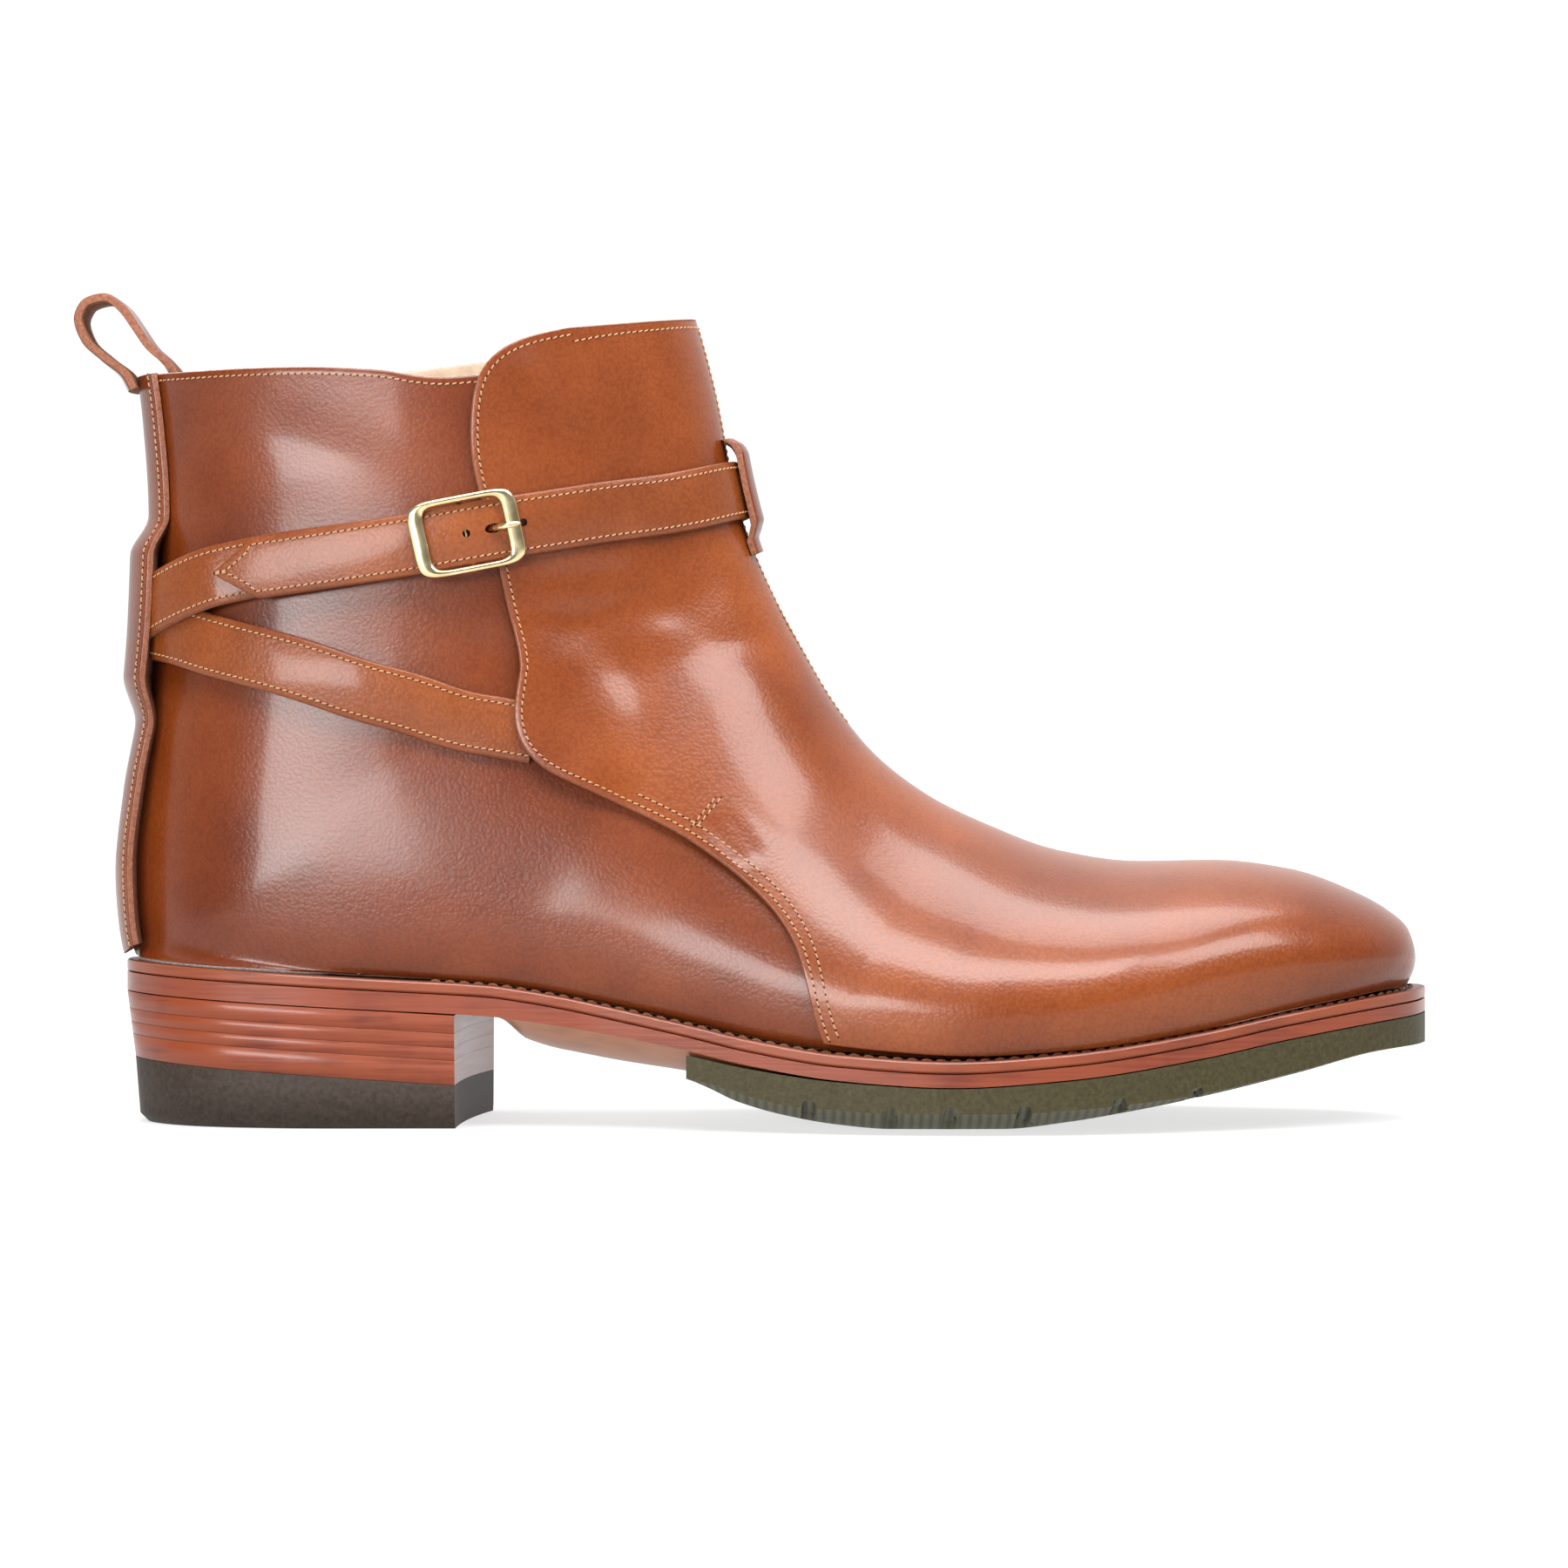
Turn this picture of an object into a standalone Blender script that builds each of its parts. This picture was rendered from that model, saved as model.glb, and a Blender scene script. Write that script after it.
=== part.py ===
"""Jodhpur boot for the right foot: a hollow upper with a wrapped front panel, crossed
ankle straps with a buckle, a welted leather sole, a rubber forepart and a stacked heel.

Metres, +Z up. The toe points along +X and the outer side of the foot faces -Y.
The origin is on the floor, under the middle of the heel.
"""

import math

import bmesh
import bpy
import numpy as np

# Driving sizes of the last and the upper.
LAST_LENGTH = 0.302
HEEL_OVERHANG = 0.0437
BALL_WIDTH = 0.100
UPPER_HEIGHT = 0.188
SEAT_HEIGHT = 0.0360

# Leathers of the upper, and the gaps left between any two pieces.
GAP = 0.0003
SEAT_GAP = 0.0005
PANEL_GAP = 0.0008
LINED_WALL = 0.0022
PANEL_WALL = 0.0016
STAY_WALL = 0.0016
STRAP_WALL = 0.0015
LOOP_WALL = 0.0019
KEEPER_WALL = 0.0018
INSOLE_WALL = 0.0030
INSOLE_INSET = 0.0016

# The bottom, from the welt down to the floor.
WELT_WALL = 0.0028
WELT_REACH = 0.0066
WELT_MARGIN = 0.0060
LEATHER_AT_HEEL = 0.0041
LEATHER_AT_FOREPART = 0.0028
WAIST_BULGE = 0.0074
BREAST_X = 0.0362
BREAST_SKEW = 0.0056
BREAST_HOLLOW = 0.0014
HEEL_TAPER = 0.0030
TOP_PIECE_HEIGHT = 0.0125
TOP_PIECE_SLOPE = 0.068
TOP_PIECE_BEVEL = 0.0018
RUBBER_LEAST = 0.0008
GROOVE_WIDTH = 0.0026
GROOVE_DEPTH = 0.0016
FLAT_SHARE = 0.55

# Straps, stay, loop, keeper and buckle.
STRAP_WIDTH = 0.0140
TIP_LENGTH = 0.0100
STAY_WIDTH_TOP = 0.0215
STAY_WIDTH_FOOT = 0.0250
LOOP_WIDTH = 0.0165
LOOP_RISE = 0.0200
KEEPER_WIDTH = 0.0105
KEEPER_ROOM = 0.0012
BUCKLE_LENGTH = 0.0244
BUCKLE_END_BAR = 0.0034
BUCKLE_SIDE_BAR = 0.0015
BUCKLE_WALL = 0.0020
BUCKLE_ROOM = 0.0004
CENTRE_BAR_RADIUS = 0.0008
PRONG_RADIUS = 0.0006
PRONG_HOLE_LENGTH = 0.0040
PRONG_HOLE_WIDTH = 0.0022
STRAP_HOLE_RADIUS = 0.0009
STRAP_HOLE_PITCH = 0.0130

# One row for each section of the upper, from the toe tip up to above the collar.
# Each section starts on the ridge and ends on the feather line or on the back line.
# ridge_x, ridge_z, end_x: shares of the last's length and of the upper's height.
# rise: how far the end lies above the feather line, a share of the upper's height.
# mid: the ridge's shift to the inner side. outer, inner: the widest half widths.
# foot_outer, foot_inner: half widths at the end. All five are shares of BALL_WIDTH.
# deep: how far down the section its widest place lies. crest, tuck: exponents of
# the two arcs that meet there, 2 for an ellipse and less for a sharper end.
SECTION_COLUMNS = ("ridge_x", "ridge_z", "end_x", "rise", "mid", "outer", "inner",
                   "foot_outer", "foot_inner", "deep", "crest", "tuck")
SECTIONS = (
    (0.9970, 0.1787, 0.9950, 0.000, 0.060, -0.052, 0.068, -0.052, 0.068, 0.60, 2.00, 2.00),
    (1.0013, 0.2037, 0.9851, 0.000, 0.060, 0.072, 0.178, 0.056, 0.162, 0.60, 2.10, 2.10),
    (0.9967, 0.2319, 0.9675, 0.000, 0.060, 0.150, 0.242, 0.130, 0.220, 0.64, 2.10, 2.10),
    (0.9818, 0.2532, 0.9394, 0.000, 0.060, 0.230, 0.298, 0.204, 0.270, 0.68, 2.10, 2.20),
    (0.9543, 0.2766, 0.8980, 0.000, 0.060, 0.310, 0.352, 0.279, 0.320, 0.72, 2.10, 2.20),
    (0.9096, 0.3011, 0.8401, 0.000, 0.062, 0.396, 0.412, 0.361, 0.376, 0.75, 2.10, 2.30),
    (0.8533, 0.3117, 0.7772, 0.000, 0.064, 0.468, 0.462, 0.430, 0.422, 0.77, 2.00, 2.30),
    (0.7921, 0.3101, 0.7142, 0.000, 0.066, 0.506, 0.480, 0.466, 0.436, 0.78, 1.95, 2.30),
    (0.7295, 0.3239, 0.6513, 0.000, 0.066, 0.514, 0.464, 0.474, 0.418, 0.78, 1.85, 2.30),
    (0.6738, 0.3559, 0.5868, 0.000, 0.062, 0.494, 0.430, 0.454, 0.378, 0.78, 1.78, 2.30),
    (0.6242, 0.3952, 0.5189, 0.000, 0.054, 0.456, 0.394, 0.410, 0.326, 0.77, 1.76, 2.30),
    (0.5805, 0.4489, 0.4460, 0.000, 0.044, 0.416, 0.368, 0.356, 0.280, 0.76, 1.80, 2.30),
    (0.5467, 0.5170, 0.3599, 0.000, 0.034, 0.382, 0.354, 0.314, 0.272, 0.75, 1.86, 2.30),
    (0.5202, 0.5899, 0.2639, 0.000, 0.024, 0.362, 0.350, 0.312, 0.298, 0.74, 1.92, 2.30),
    (0.5063, 0.6309, 0.1613, 0.000, 0.018, 0.354, 0.350, 0.318, 0.316, 0.72, 1.95, 2.30),
    (0.4967, 0.6622, 0.1017, 0.000, 0.014, 0.349, 0.348, 0.294, 0.294, 0.70, 1.97, 2.30),
    (0.4897, 0.6872, 0.0603, 0.000, 0.010, 0.346, 0.346, 0.244, 0.244, 0.68, 1.98, 2.25),
    (0.4844, 0.7074, 0.0315, 0.000, 0.007, 0.344, 0.344, 0.166, 0.166, 0.66, 1.98, 2.20),
    (0.4801, 0.7250, 0.0146, 0.000, 0.005, 0.342, 0.342, 0.078, 0.078, 0.64, 1.98, 2.15),
    (0.4765, 0.7415, 0.0093, 0.000, 0.003, 0.340, 0.340, 0.000, 0.000, 0.63, 1.98, 2.10),
    (0.4732, 0.7585, 0.0033, 0.041, 0.002, 0.339, 0.339, 0.000, 0.000, 0.61, 1.98, 2.05),
    (0.4692, 0.7840, 0.0007, 0.107, 0.000, 0.338, 0.338, 0.000, 0.000, 0.59, 1.98, 2.00),
    (0.4656, 0.8106, 0.0070, 0.206, 0.000, 0.336, 0.336, 0.000, 0.000, 0.57, 1.97, 1.95),
    (0.4623, 0.8383, 0.0182, 0.310, 0.000, 0.334, 0.334, 0.000, 0.000, 0.55, 1.96, 1.90),
    (0.4589, 0.8697, 0.0242, 0.427, 0.000, 0.333, 0.333, 0.000, 0.000, 0.53, 1.95, 1.86),
    (0.4540, 0.9069, 0.0265, 0.554, 0.000, 0.334, 0.334, 0.000, 0.000, 0.52, 1.95, 1.84),
    (0.4470, 0.9521, 0.0222, 0.669, 0.000, 0.338, 0.338, 0.000, 0.000, 0.51, 1.95, 1.84),
    (0.4387, 0.9989, 0.0159, 0.749, 0.000, 0.344, 0.344, 0.000, 0.000, 0.50, 1.95, 1.84),
    (0.4308, 1.0452, 0.0103, 0.812, 0.000, 0.352, 0.352, 0.000, 0.000, 0.50, 1.95, 1.84),
)
HEEL_ROW = 19.0
COLLAR_ROW = 27.0
FADE_ROW = 21.0
# Where the overlays end above the welt: how far round the foot's sections, at the toe
# and at the heel.
FOOT_TURN = 0.80
TOE_TURN = 0.60
TOE_ROW = 0.45
SEAM_FOOT_ROW = 9.65
STAY_FOOT_ROW = 19.3

# The bottom along its length. along: share of the last's length. welt: height of the
# welt's top, a share of SEAT_HEIGHT. outer, inner: the welt's reach, shares of
# WELT_REACH. bulge: how far the sole's underside is rounded, a share of WAIST_BULGE.
BOTTOM_COLUMNS = ("along", "welt", "outer", "inner", "bulge")
BOTTOM = (
    (-0.120, 1.1185, 0.36, 0.36, 0.00),
    (0.010, 1.0569, 0.36, 0.36, 0.00),
    (0.198, 0.9678, 0.44, 0.42, 0.00),
    (0.2905, 0.9240, 0.48, 0.44, 0.00),
    (0.317, 0.893, 0.50, 0.44, 0.80),
    (0.345, 0.853, 0.54, 0.44, 0.97),
    (0.383, 0.786, 0.58, 0.44, 1.00),
    (0.439, 0.686, 0.68, 0.50, 0.92),
    (0.489, 0.592, 0.80, 0.62, 0.56),
    (0.557, 0.506, 0.92, 0.82, 0.10),
    (0.641, 0.469, 1.00, 0.96, 0.00),
    (0.731, 0.517, 1.00, 1.00, 0.00),
    (0.830, 0.636, 1.00, 1.00, 0.00),
    (0.900, 0.747, 1.03, 1.03, 0.00),
    (0.972, 0.836, 1.08, 1.08, 0.00),
    (1.025, 0.881, 1.10, 1.10, 0.00),
)

# The rubber forepart along its length. floor: height of its underside at the middle,
# edge: how much higher its edge is. Both are shares of SEAT_HEIGHT.
RUBBER_COLUMNS = ("along", "floor", "edge")
RUBBER = (
    (0.440, 0.318, 0.02),
    (0.458, 0.250, 0.06),
    (0.480, 0.165, 0.09),
    (0.516, 0.082, 0.10),
    (0.556, 0.026, 0.13),
    (0.596, 0.000, 0.14),
    (0.682, 0.000, 0.14),
    (0.731, 0.042, 0.12),
    (0.780, 0.108, 0.09),
    (0.843, 0.212, 0.055),
    (0.910, 0.338, 0.045),
    (0.972, 0.460, 0.03),
    (1.030, 0.512, 0.00),
)
RUBBER_START = 0.4412
GROOVES = (0.534, 0.596, 0.640, 0.695, 0.767, 0.826)

# Where the rounded waist starts, and the places across the sole that are modelled.
WAIST_START = 0.2905
ACROSS = (-1.0, -0.85, FLAT_SHARE * -1.0, -0.28, 0.0, 0.28, FLAT_SHARE, 0.85, 1.0)

# Places of the heel's lift lines, shares of the stack's height from its top.
LIFT_LINES = (0.0, 0.26, 0.465, 0.65, 1.0)

# Outlines as seen from the side: shares of the last's length and the upper's height.
PANEL_EDGE_OUTER = (
    (0.350, 0.980), (0.320, 0.970), (0.294, 0.950), (0.279, 0.912), (0.276, 0.835),
    (0.283, 0.777), (0.299, 0.678), (0.314, 0.559), (0.325, 0.444), (0.362, 0.415),
    (0.404, 0.385), (0.439, 0.357), (0.474, 0.317), (0.501, 0.279), (0.521, 0.237),
    (0.533, 0.181),
)
PANEL_EDGE_INNER = (
    (0.363, 0.982), (0.343, 0.965), (0.333, 0.915), (0.327, 0.824), (0.324, 0.745),
    (0.322, 0.649), (0.322, 0.548), (0.328, 0.452), (0.363, 0.418), (0.404, 0.388),
    (0.439, 0.360), (0.474, 0.320), (0.501, 0.282), (0.521, 0.239), (0.533, 0.186),
)
COLLAR_OUTER = (
    (0.019, 0.930), (0.078, 0.931), (0.145, 0.932), (0.204, 0.928), (0.264, 0.919),
    (0.290, 0.923), (0.317, 0.949), (0.350, 0.971), (0.396, 0.985), (0.439, 0.995),
)
COLLAR_INNER = (
    (0.019, 0.930), (0.078, 0.932), (0.145, 0.938), (0.204, 0.946), (0.264, 0.957),
    (0.317, 0.969), (0.363, 0.980), (0.396, 0.986), (0.439, 0.995),
)

# Centre lines of the two straps from the side. The first number of each point is the
# side, -1 for the outer and 1 for the inner. The last one is the layer that the strap
# lies on: 0 the quarter, 1 the front panel or one strap, 2 one strap more.
LONG_STRAP = (
    (-1, 0.325, 0.483, 0.0), (-1, 0.242, 0.518, 0.0), (-1, 0.165, 0.553, 0.0),
    (-1, 0.085, 0.588, 0.0), (-1, 0.035, 0.612, 0.1),
    (1, 0.062, 0.646, 0.1), (1, 0.145, 0.684, 0.0), (1, 0.230, 0.716, 0.1),
    (1, 0.290, 0.735, 1.0), (1, 0.343, 0.750, 1.0), (1, 0.423, 0.771, 1.1),
    (1, 0.4685, 0.781, 1.15),
    (-1, 0.433, 0.769, 1.1), (-1, 0.380, 0.757, 1.0), (-1, 0.335, 0.744, 1.1),
    (-1, 0.300, 0.735, 1.3), (-1, 0.270, 0.726, 1.3), (-1, 0.240, 0.716, 1.15),
    (-1, 0.205, 0.706, 1.0), (-1, 0.150, 0.692, 1.0), (-1, 0.124, 0.686, 1.2),
    (-1, 0.090, 0.679, 1.7),
)
BUCKLE_STRAP = (
    (-1, 0.266, 0.725, 0.0), (-1, 0.239, 0.716, 0.0), (-1, 0.175, 0.701, 0.0),
    (-1, 0.125, 0.691, 0.0), (-1, 0.105, 0.685, 0.2), (-1, 0.078, 0.674, 1.0),
    (-1, 0.045, 0.650, 1.0),
    (1, 0.045, 0.606, 1.0), (1, 0.088, 0.588, 1.0), (1, 0.112, 0.577, 0.8),
    (1, 0.165, 0.553, 0.0), (1, 0.242, 0.518, 0.0), (1, 0.325, 0.483, 0.0),
)

# Height shares where the stay starts and stops standing out, and how much it does.
STAY_HUMP = ((0.0, 0.490, 0.555, 0.705, 0.755, 1.0), (0.0, 0.0, 1.0, 1.0, 0.0, 0.0))

# The pull loop's centre line from the collar's back: x and z as shares of LOOP_RISE,
# and how much of the back's curl it takes there.
LOOP_ROUTE = (
    (-0.175, -0.160, 0.35), (-0.265, 0.010, 0.3), (-0.475, 0.200, 0.1), (-0.690, 0.420, 0.0),
    (-0.770, 0.660, 0.0), (-0.675, 0.850, 0.0), (-0.460, 0.910, 0.0), (-0.265, 0.790, 0.0),
    (-0.120, 0.575, 0.1), (0.000, 0.335, 0.4), (0.115, 0.170, 0.8), (0.205, 0.000, 1.0),
    (0.230, -0.180, 1.0), (0.250, -0.420, 1.0),
)
LOOP_CURL_RADIUS = 0.0100

# The keeper from its top to its foot: height share, and share of its full rise.
KEEPER_ROUTE = (
    (0.849, 0.0), (0.846, 0.25), (0.838, 0.75), (0.826, 1.0), (0.775, 1.0), (0.742, 0.95),
    (0.730, 0.55), (0.718, 0.05), (0.703, 0.0),
)

# How far the buckle's middle lies past the end of the strap that holds it.
BUCKLE_AHEAD = 0.0022

# The prong from its hole in the strap to its tip: distance from the bar as a share of
# half the buckle's length, and height as a share of the frame's top.
PRONG_ROUTE = ((0.41, 0.40), (0.46, 0.56), (0.54, 0.80), (0.64, 1.04), (0.75, 1.14), (0.98, 1.13))

# Tones of the materials: red, green, blue, roughness and metallic.
CALF = (0.46, 0.16, 0.05, 0.32, 0.0)
CALF_PANEL = (0.50, 0.18, 0.06, 0.30, 0.0)
FLESH = (0.55, 0.33, 0.22, 0.75, 0.0)
WELT_TONE = (0.42, 0.13, 0.05, 0.5, 0.0)
SOLE_TONE = (0.47, 0.12, 0.04, 0.45, 0.0)
HEEL_TONE = (0.36, 0.08, 0.03, 0.45, 0.0)
HEEL_RUBBER = (0.06, 0.045, 0.03, 0.6, 0.0)
SOLE_RUBBER = (0.12, 0.11, 0.04, 0.55, 0.0)
INSOLE_TONE = (0.55, 0.38, 0.25, 0.7, 0.0)
BRASS = (0.75, 0.58, 0.30, 0.22, 1.0)


def steady_slopes(knots, values):
    """Slopes at the knots that never let the curve overshoot a value."""
    steps = np.diff(knots)
    secants = np.diff(values) / steps
    slopes = np.empty(len(knots))
    slopes[0] = secants[0]
    slopes[-1] = secants[-1]
    before, after = secants[:-1], secants[1:]
    same_sign = before * after > 0.0
    total = np.where(same_sign, before + after, 1.0)
    slopes[1:-1] = np.where(same_sign, 2.0 * before * after / total, 0.0)
    return slopes


def smooth_curve(knots, values, at):
    """Cubic curve through the values, read at the given places."""
    knots = np.asarray(knots, dtype=float)
    values = np.asarray(values, dtype=float)
    at = np.clip(at, knots[0], knots[-1])
    slopes = steady_slopes(knots, values)
    index = np.clip(np.searchsorted(knots, at, side="right") - 1, 0, len(knots) - 2)
    step = knots[index + 1] - knots[index]
    share = (at - knots[index]) / step
    rest = 1.0 - share
    return (values[index] * (1.0 + 2.0 * share) * rest * rest
            + values[index + 1] * share * share * (3.0 - 2.0 * share)
            + step * slopes[index] * share * rest * rest
            - step * slopes[index + 1] * share * share * rest)


def row_value(column, row):
    """A column of SECTIONS read smoothly at fractional rows."""
    values = [section[SECTION_COLUMNS.index(column)] for section in SECTIONS]
    return smooth_curve(np.arange(len(values)), values, row)


def bottom_value(column, x):
    """A column of BOTTOM read smoothly at distances along the boot."""
    along = [place[0] for place in BOTTOM]
    values = [place[BOTTOM_COLUMNS.index(column)] for place in BOTTOM]
    return smooth_curve(along, values, share_along(x))


def rubber_value(column, x):
    """A column of RUBBER read smoothly at distances along the boot, as a height."""
    along = [place[0] for place in RUBBER]
    values = [place[RUBBER_COLUMNS.index(column)] for place in RUBBER]
    return SEAT_HEIGHT * smooth_curve(along, values, share_along(x))


def share_along(x):
    return (np.asarray(x) + HEEL_OVERHANG) / LAST_LENGTH


def place_along(share):
    return share * LAST_LENGTH - HEEL_OVERHANG


def welt_top(x):
    return SEAT_HEIGHT * bottom_value("welt", x)


def section_line(row):
    """Both ends of a section as seen from the side: x and z on the ridge and at the end."""
    ridge_x = place_along(row_value("ridge_x", row))
    ridge_z = row_value("ridge_z", row) * UPPER_HEIGHT
    end_x = place_along(row_value("end_x", row))
    end_z = welt_top(end_x) + SEAT_GAP + row_value("rise", row) * UPPER_HEIGHT
    return ridge_x, ridge_z, end_x, end_z


def within_one(turn):
    """The same place's turn between -1 and 1."""
    return np.mod(turn + 1.0, 2.0) - 1.0 + 2.0 * (turn == 1.0)


def skin(row, turn):
    """Outer face of the upper.

    turn runs from -1 at the outer end of the section, over the ridge at 0, to 1 at
    its inner end. Above the heel both ends meet on the back line, so turn repeats
    every 2 there. The first half of each side is an arc from the ridge to the widest
    place, and the second half is an arc from there to the section's end.
    """
    row, turn = np.broadcast_arrays(np.asarray(row, dtype=float), np.asarray(turn, dtype=float))
    turn = within_one(turn)
    side = np.where(turn < 0.0, -1.0, 1.0)
    reach = np.abs(turn)
    ridge_x, ridge_z, end_x, end_z = section_line(row)
    middle = row_value("mid", row) * BALL_WIDTH
    wide = np.where(side < 0.0, row_value("outer", row), row_value("inner", row)) * BALL_WIDTH
    foot = np.where(side < 0.0, row_value("foot_outer", row),
                    row_value("foot_inner", row)) * BALL_WIDTH
    deep = row_value("deep", row)
    first = np.clip(reach * 2.0, 0.0, 1.0) * math.pi / 2.0
    second = np.clip(reach * 2.0 - 1.0, 0.0, 1.0) * math.pi / 2.0
    crest = 2.0 / row_value("crest", row)
    tuck = 2.0 / row_value("tuck", row)
    upper_down = deep * (1.0 - np.maximum(np.cos(first), 0.0) ** crest)
    upper_out = side * middle + (wide - side * middle) * np.sin(first) ** crest
    lower_down = deep + (1.0 - deep) * np.sin(second) ** tuck
    lower_out = foot + (wide - foot) * np.maximum(np.cos(second), 0.0) ** tuck
    down = np.where(reach <= 0.5, upper_down, lower_down)
    out = np.where(reach <= 0.5, upper_out, lower_out)
    return np.stack([ridge_x + (end_x - ridge_x) * down, side * out,
                     ridge_z + (end_z - ridge_z) * down], axis=-1)


def unit(vectors):
    length = np.linalg.norm(vectors, axis=-1, keepdims=True)
    return vectors / np.maximum(length, 1e-12)


def skin_normal(row, turn):
    """Outward direction of the upper's outer face."""
    row, turn = np.broadcast_arrays(np.asarray(row, dtype=float), np.asarray(turn, dtype=float))
    turn = within_one(turn)
    small = 0.004
    top = len(SECTIONS) - 1.0
    low_row = np.clip(row - small, 0.0, top)
    high_row = np.clip(row + small, 0.0, top)
    on_foot = row < HEEL_ROW
    low_turn = np.where(on_foot, np.clip(turn - small, -1.0, 1.0), turn - small)
    high_turn = np.where(on_foot, np.clip(turn + small, -1.0, 1.0), turn + small)
    down = skin(low_row, turn) - skin(high_row, turn)
    across = skin(row, high_turn) - skin(row, low_turn)
    return unit(np.cross(down, across))


def lifted(row, turn, lift):
    """A point at the given height over the upper's outer face."""
    return skin(row, turn) + skin_normal(row, turn) * np.asarray(lift)[..., None]


def find_on_skin(side, x, z):
    """Row and turn of the point that lies at x and z in the side view."""
    rows = np.linspace(0.0, len(SECTIONS) - 1.0, 2801)
    ridge_x, ridge_z, end_x, end_z = section_line(rows)
    offset = (end_x - ridge_x) * (z - ridge_z) - (end_z - ridge_z) * (x - ridge_x)
    change = np.nonzero(offset[:-1] * offset[1:] <= 0.0)[0]
    best = change[0]
    for place in change:
        run = (end_x[place] - ridge_x[place], end_z[place] - ridge_z[place])
        from_ridge = (x - ridge_x[place]) * run[0] + (z - ridge_z[place]) * run[1]
        if -0.02 <= from_ridge / (run[0] ** 2 + run[1] ** 2) <= 1.02:
            best = place
    share = offset[best] / (offset[best] - offset[best + 1])
    row = rows[best] + share * (rows[best + 1] - rows[best])
    ridge_x, ridge_z, end_x, end_z = section_line(row)
    run = (end_x - ridge_x, end_z - ridge_z)
    down = ((x - ridge_x) * run[0] + (z - ridge_z) * run[1]) / (run[0] ** 2 + run[1] ** 2)
    down = min(max(float(down), 0.0), 1.0)
    deep = float(row_value("deep", row))
    if down <= deep:
        arc = math.acos(max(1.0 - down / deep, 0.0) ** (float(row_value("crest", row)) / 2.0))
        return float(row), side * arc / math.pi
    arc = math.asin(((down - deep) / (1.0 - deep)) ** (float(row_value("tuck", row)) / 2.0))
    return float(row), side * (0.5 + arc / math.pi)


def side_line(side, outline):
    """Rows and turns of an outline given by its shares in the side view."""
    found = [find_on_skin(side, place_along(x), z * UPPER_HEIGHT) for x, z in outline]
    return np.array(found)


def resample(points, count):
    """Points at equal distances along a smooth curve through the given points."""
    points = np.asarray(points, dtype=float)
    lengths = np.concatenate([[0.0], np.cumsum(np.linalg.norm(np.diff(points, axis=0), axis=1))])
    at = np.linspace(0.0, lengths[-1], count)
    return np.stack([smooth_curve(lengths, column, at) for column in points.T], axis=-1)


def grid_faces(rows, columns):
    """Quads of a grid whose points are stored row by row."""
    corner = np.arange(rows - 1)[:, None] * columns + np.arange(columns - 1)[None, :]
    corner = corner.ravel()
    return np.stack([corner, corner + columns, corner + columns + 1, corner + 1], axis=-1)


def material(name, tone):
    """A plain material, made once and shared by the pieces of the same stuff."""
    if name in bpy.data.materials:
        return bpy.data.materials[name]
    made = bpy.data.materials.new(name)
    made.use_nodes = True
    made.diffuse_color = (*tone[:3], 1.0)
    shader = made.node_tree.nodes["Principled BSDF"]
    shader.inputs["Base Color"].default_value = (*tone[:3], 1.0)
    shader.inputs["Roughness"].default_value = tone[3]
    shader.inputs["Metallic"].default_value = tone[4]
    return made


def mesh_object(name, points, faces, stuff, target=None):
    """An object from points and faces, with coinciding points merged."""
    mesh = bpy.data.meshes.new(name)
    mesh.from_pydata([tuple(point) for point in points], [], [tuple(face) for face in faces])
    shape = bmesh.new()
    shape.from_mesh(mesh)
    bmesh.ops.remove_doubles(shape, verts=shape.verts, dist=0.00002)
    shape.to_mesh(mesh)
    shape.free()
    mesh.materials.append(material(*stuff))
    mesh.shade_smooth()
    mesh.set_sharp_from_angle(angle=math.radians(40.0))
    made = bpy.data.objects.new(name, mesh)
    (target or boot).objects.link(made)
    return made


def sheet(name, grid, wall, stuff, outward=True):
    """A curved sheet of leather: an open surface that gets its wall from Solidify."""
    rows, columns = grid.shape[:2]
    made = mesh_object(name, grid.reshape(-1, 3), grid_faces(rows, columns), stuff)
    solid = made.modifiers.new("Wall", "SOLIDIFY")
    solid.thickness = wall
    solid.offset = 1.0 if outward else -1.0
    solid.use_even_offset = True
    solid.use_quality_normals = True
    return made


def closed_between(name, upper_grid, lower_grid, stuff):
    """A closed solid between an upper and a lower grid of the same make."""
    rows, columns = upper_grid.shape[:2]
    count = rows * columns
    points = np.concatenate([upper_grid.reshape(-1, 3), lower_grid.reshape(-1, 3)])
    top = grid_faces(rows, columns)
    faces = [list(face) for face in top]
    faces += [[corner + count for corner in face[::-1]] for face in top]
    rim = ([row * columns for row in range(rows)]
           + [(rows - 1) * columns + column for column in range(1, columns)]
           + [row * columns + columns - 1 for row in range(rows - 2, -1, -1)]
           + [column for column in range(columns - 2, 0, -1)])
    for first, second in zip(rim, rim[1:] + rim[:1]):
        faces.append([second, first, first + count, second + count])
    return mesh_object(name, points, faces, stuff)


def stack_of_loops(name, loops, stuff):
    """A solid lofted through closed loops from the lowest to the highest, with flat caps."""
    count = len(loops[0])
    points = np.concatenate(loops)
    faces = [list(range(count))[::-1]]
    for level in range(len(loops) - 1):
        for index in range(count):
            after = (index + 1) % count
            low, high = level * count, (level + 1) * count
            faces.append([low + index, low + after, high + after, high + index])
    faces.append([(len(loops) - 1) * count + index for index in range(count)])
    return mesh_object(name, points, faces, stuff)


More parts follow.
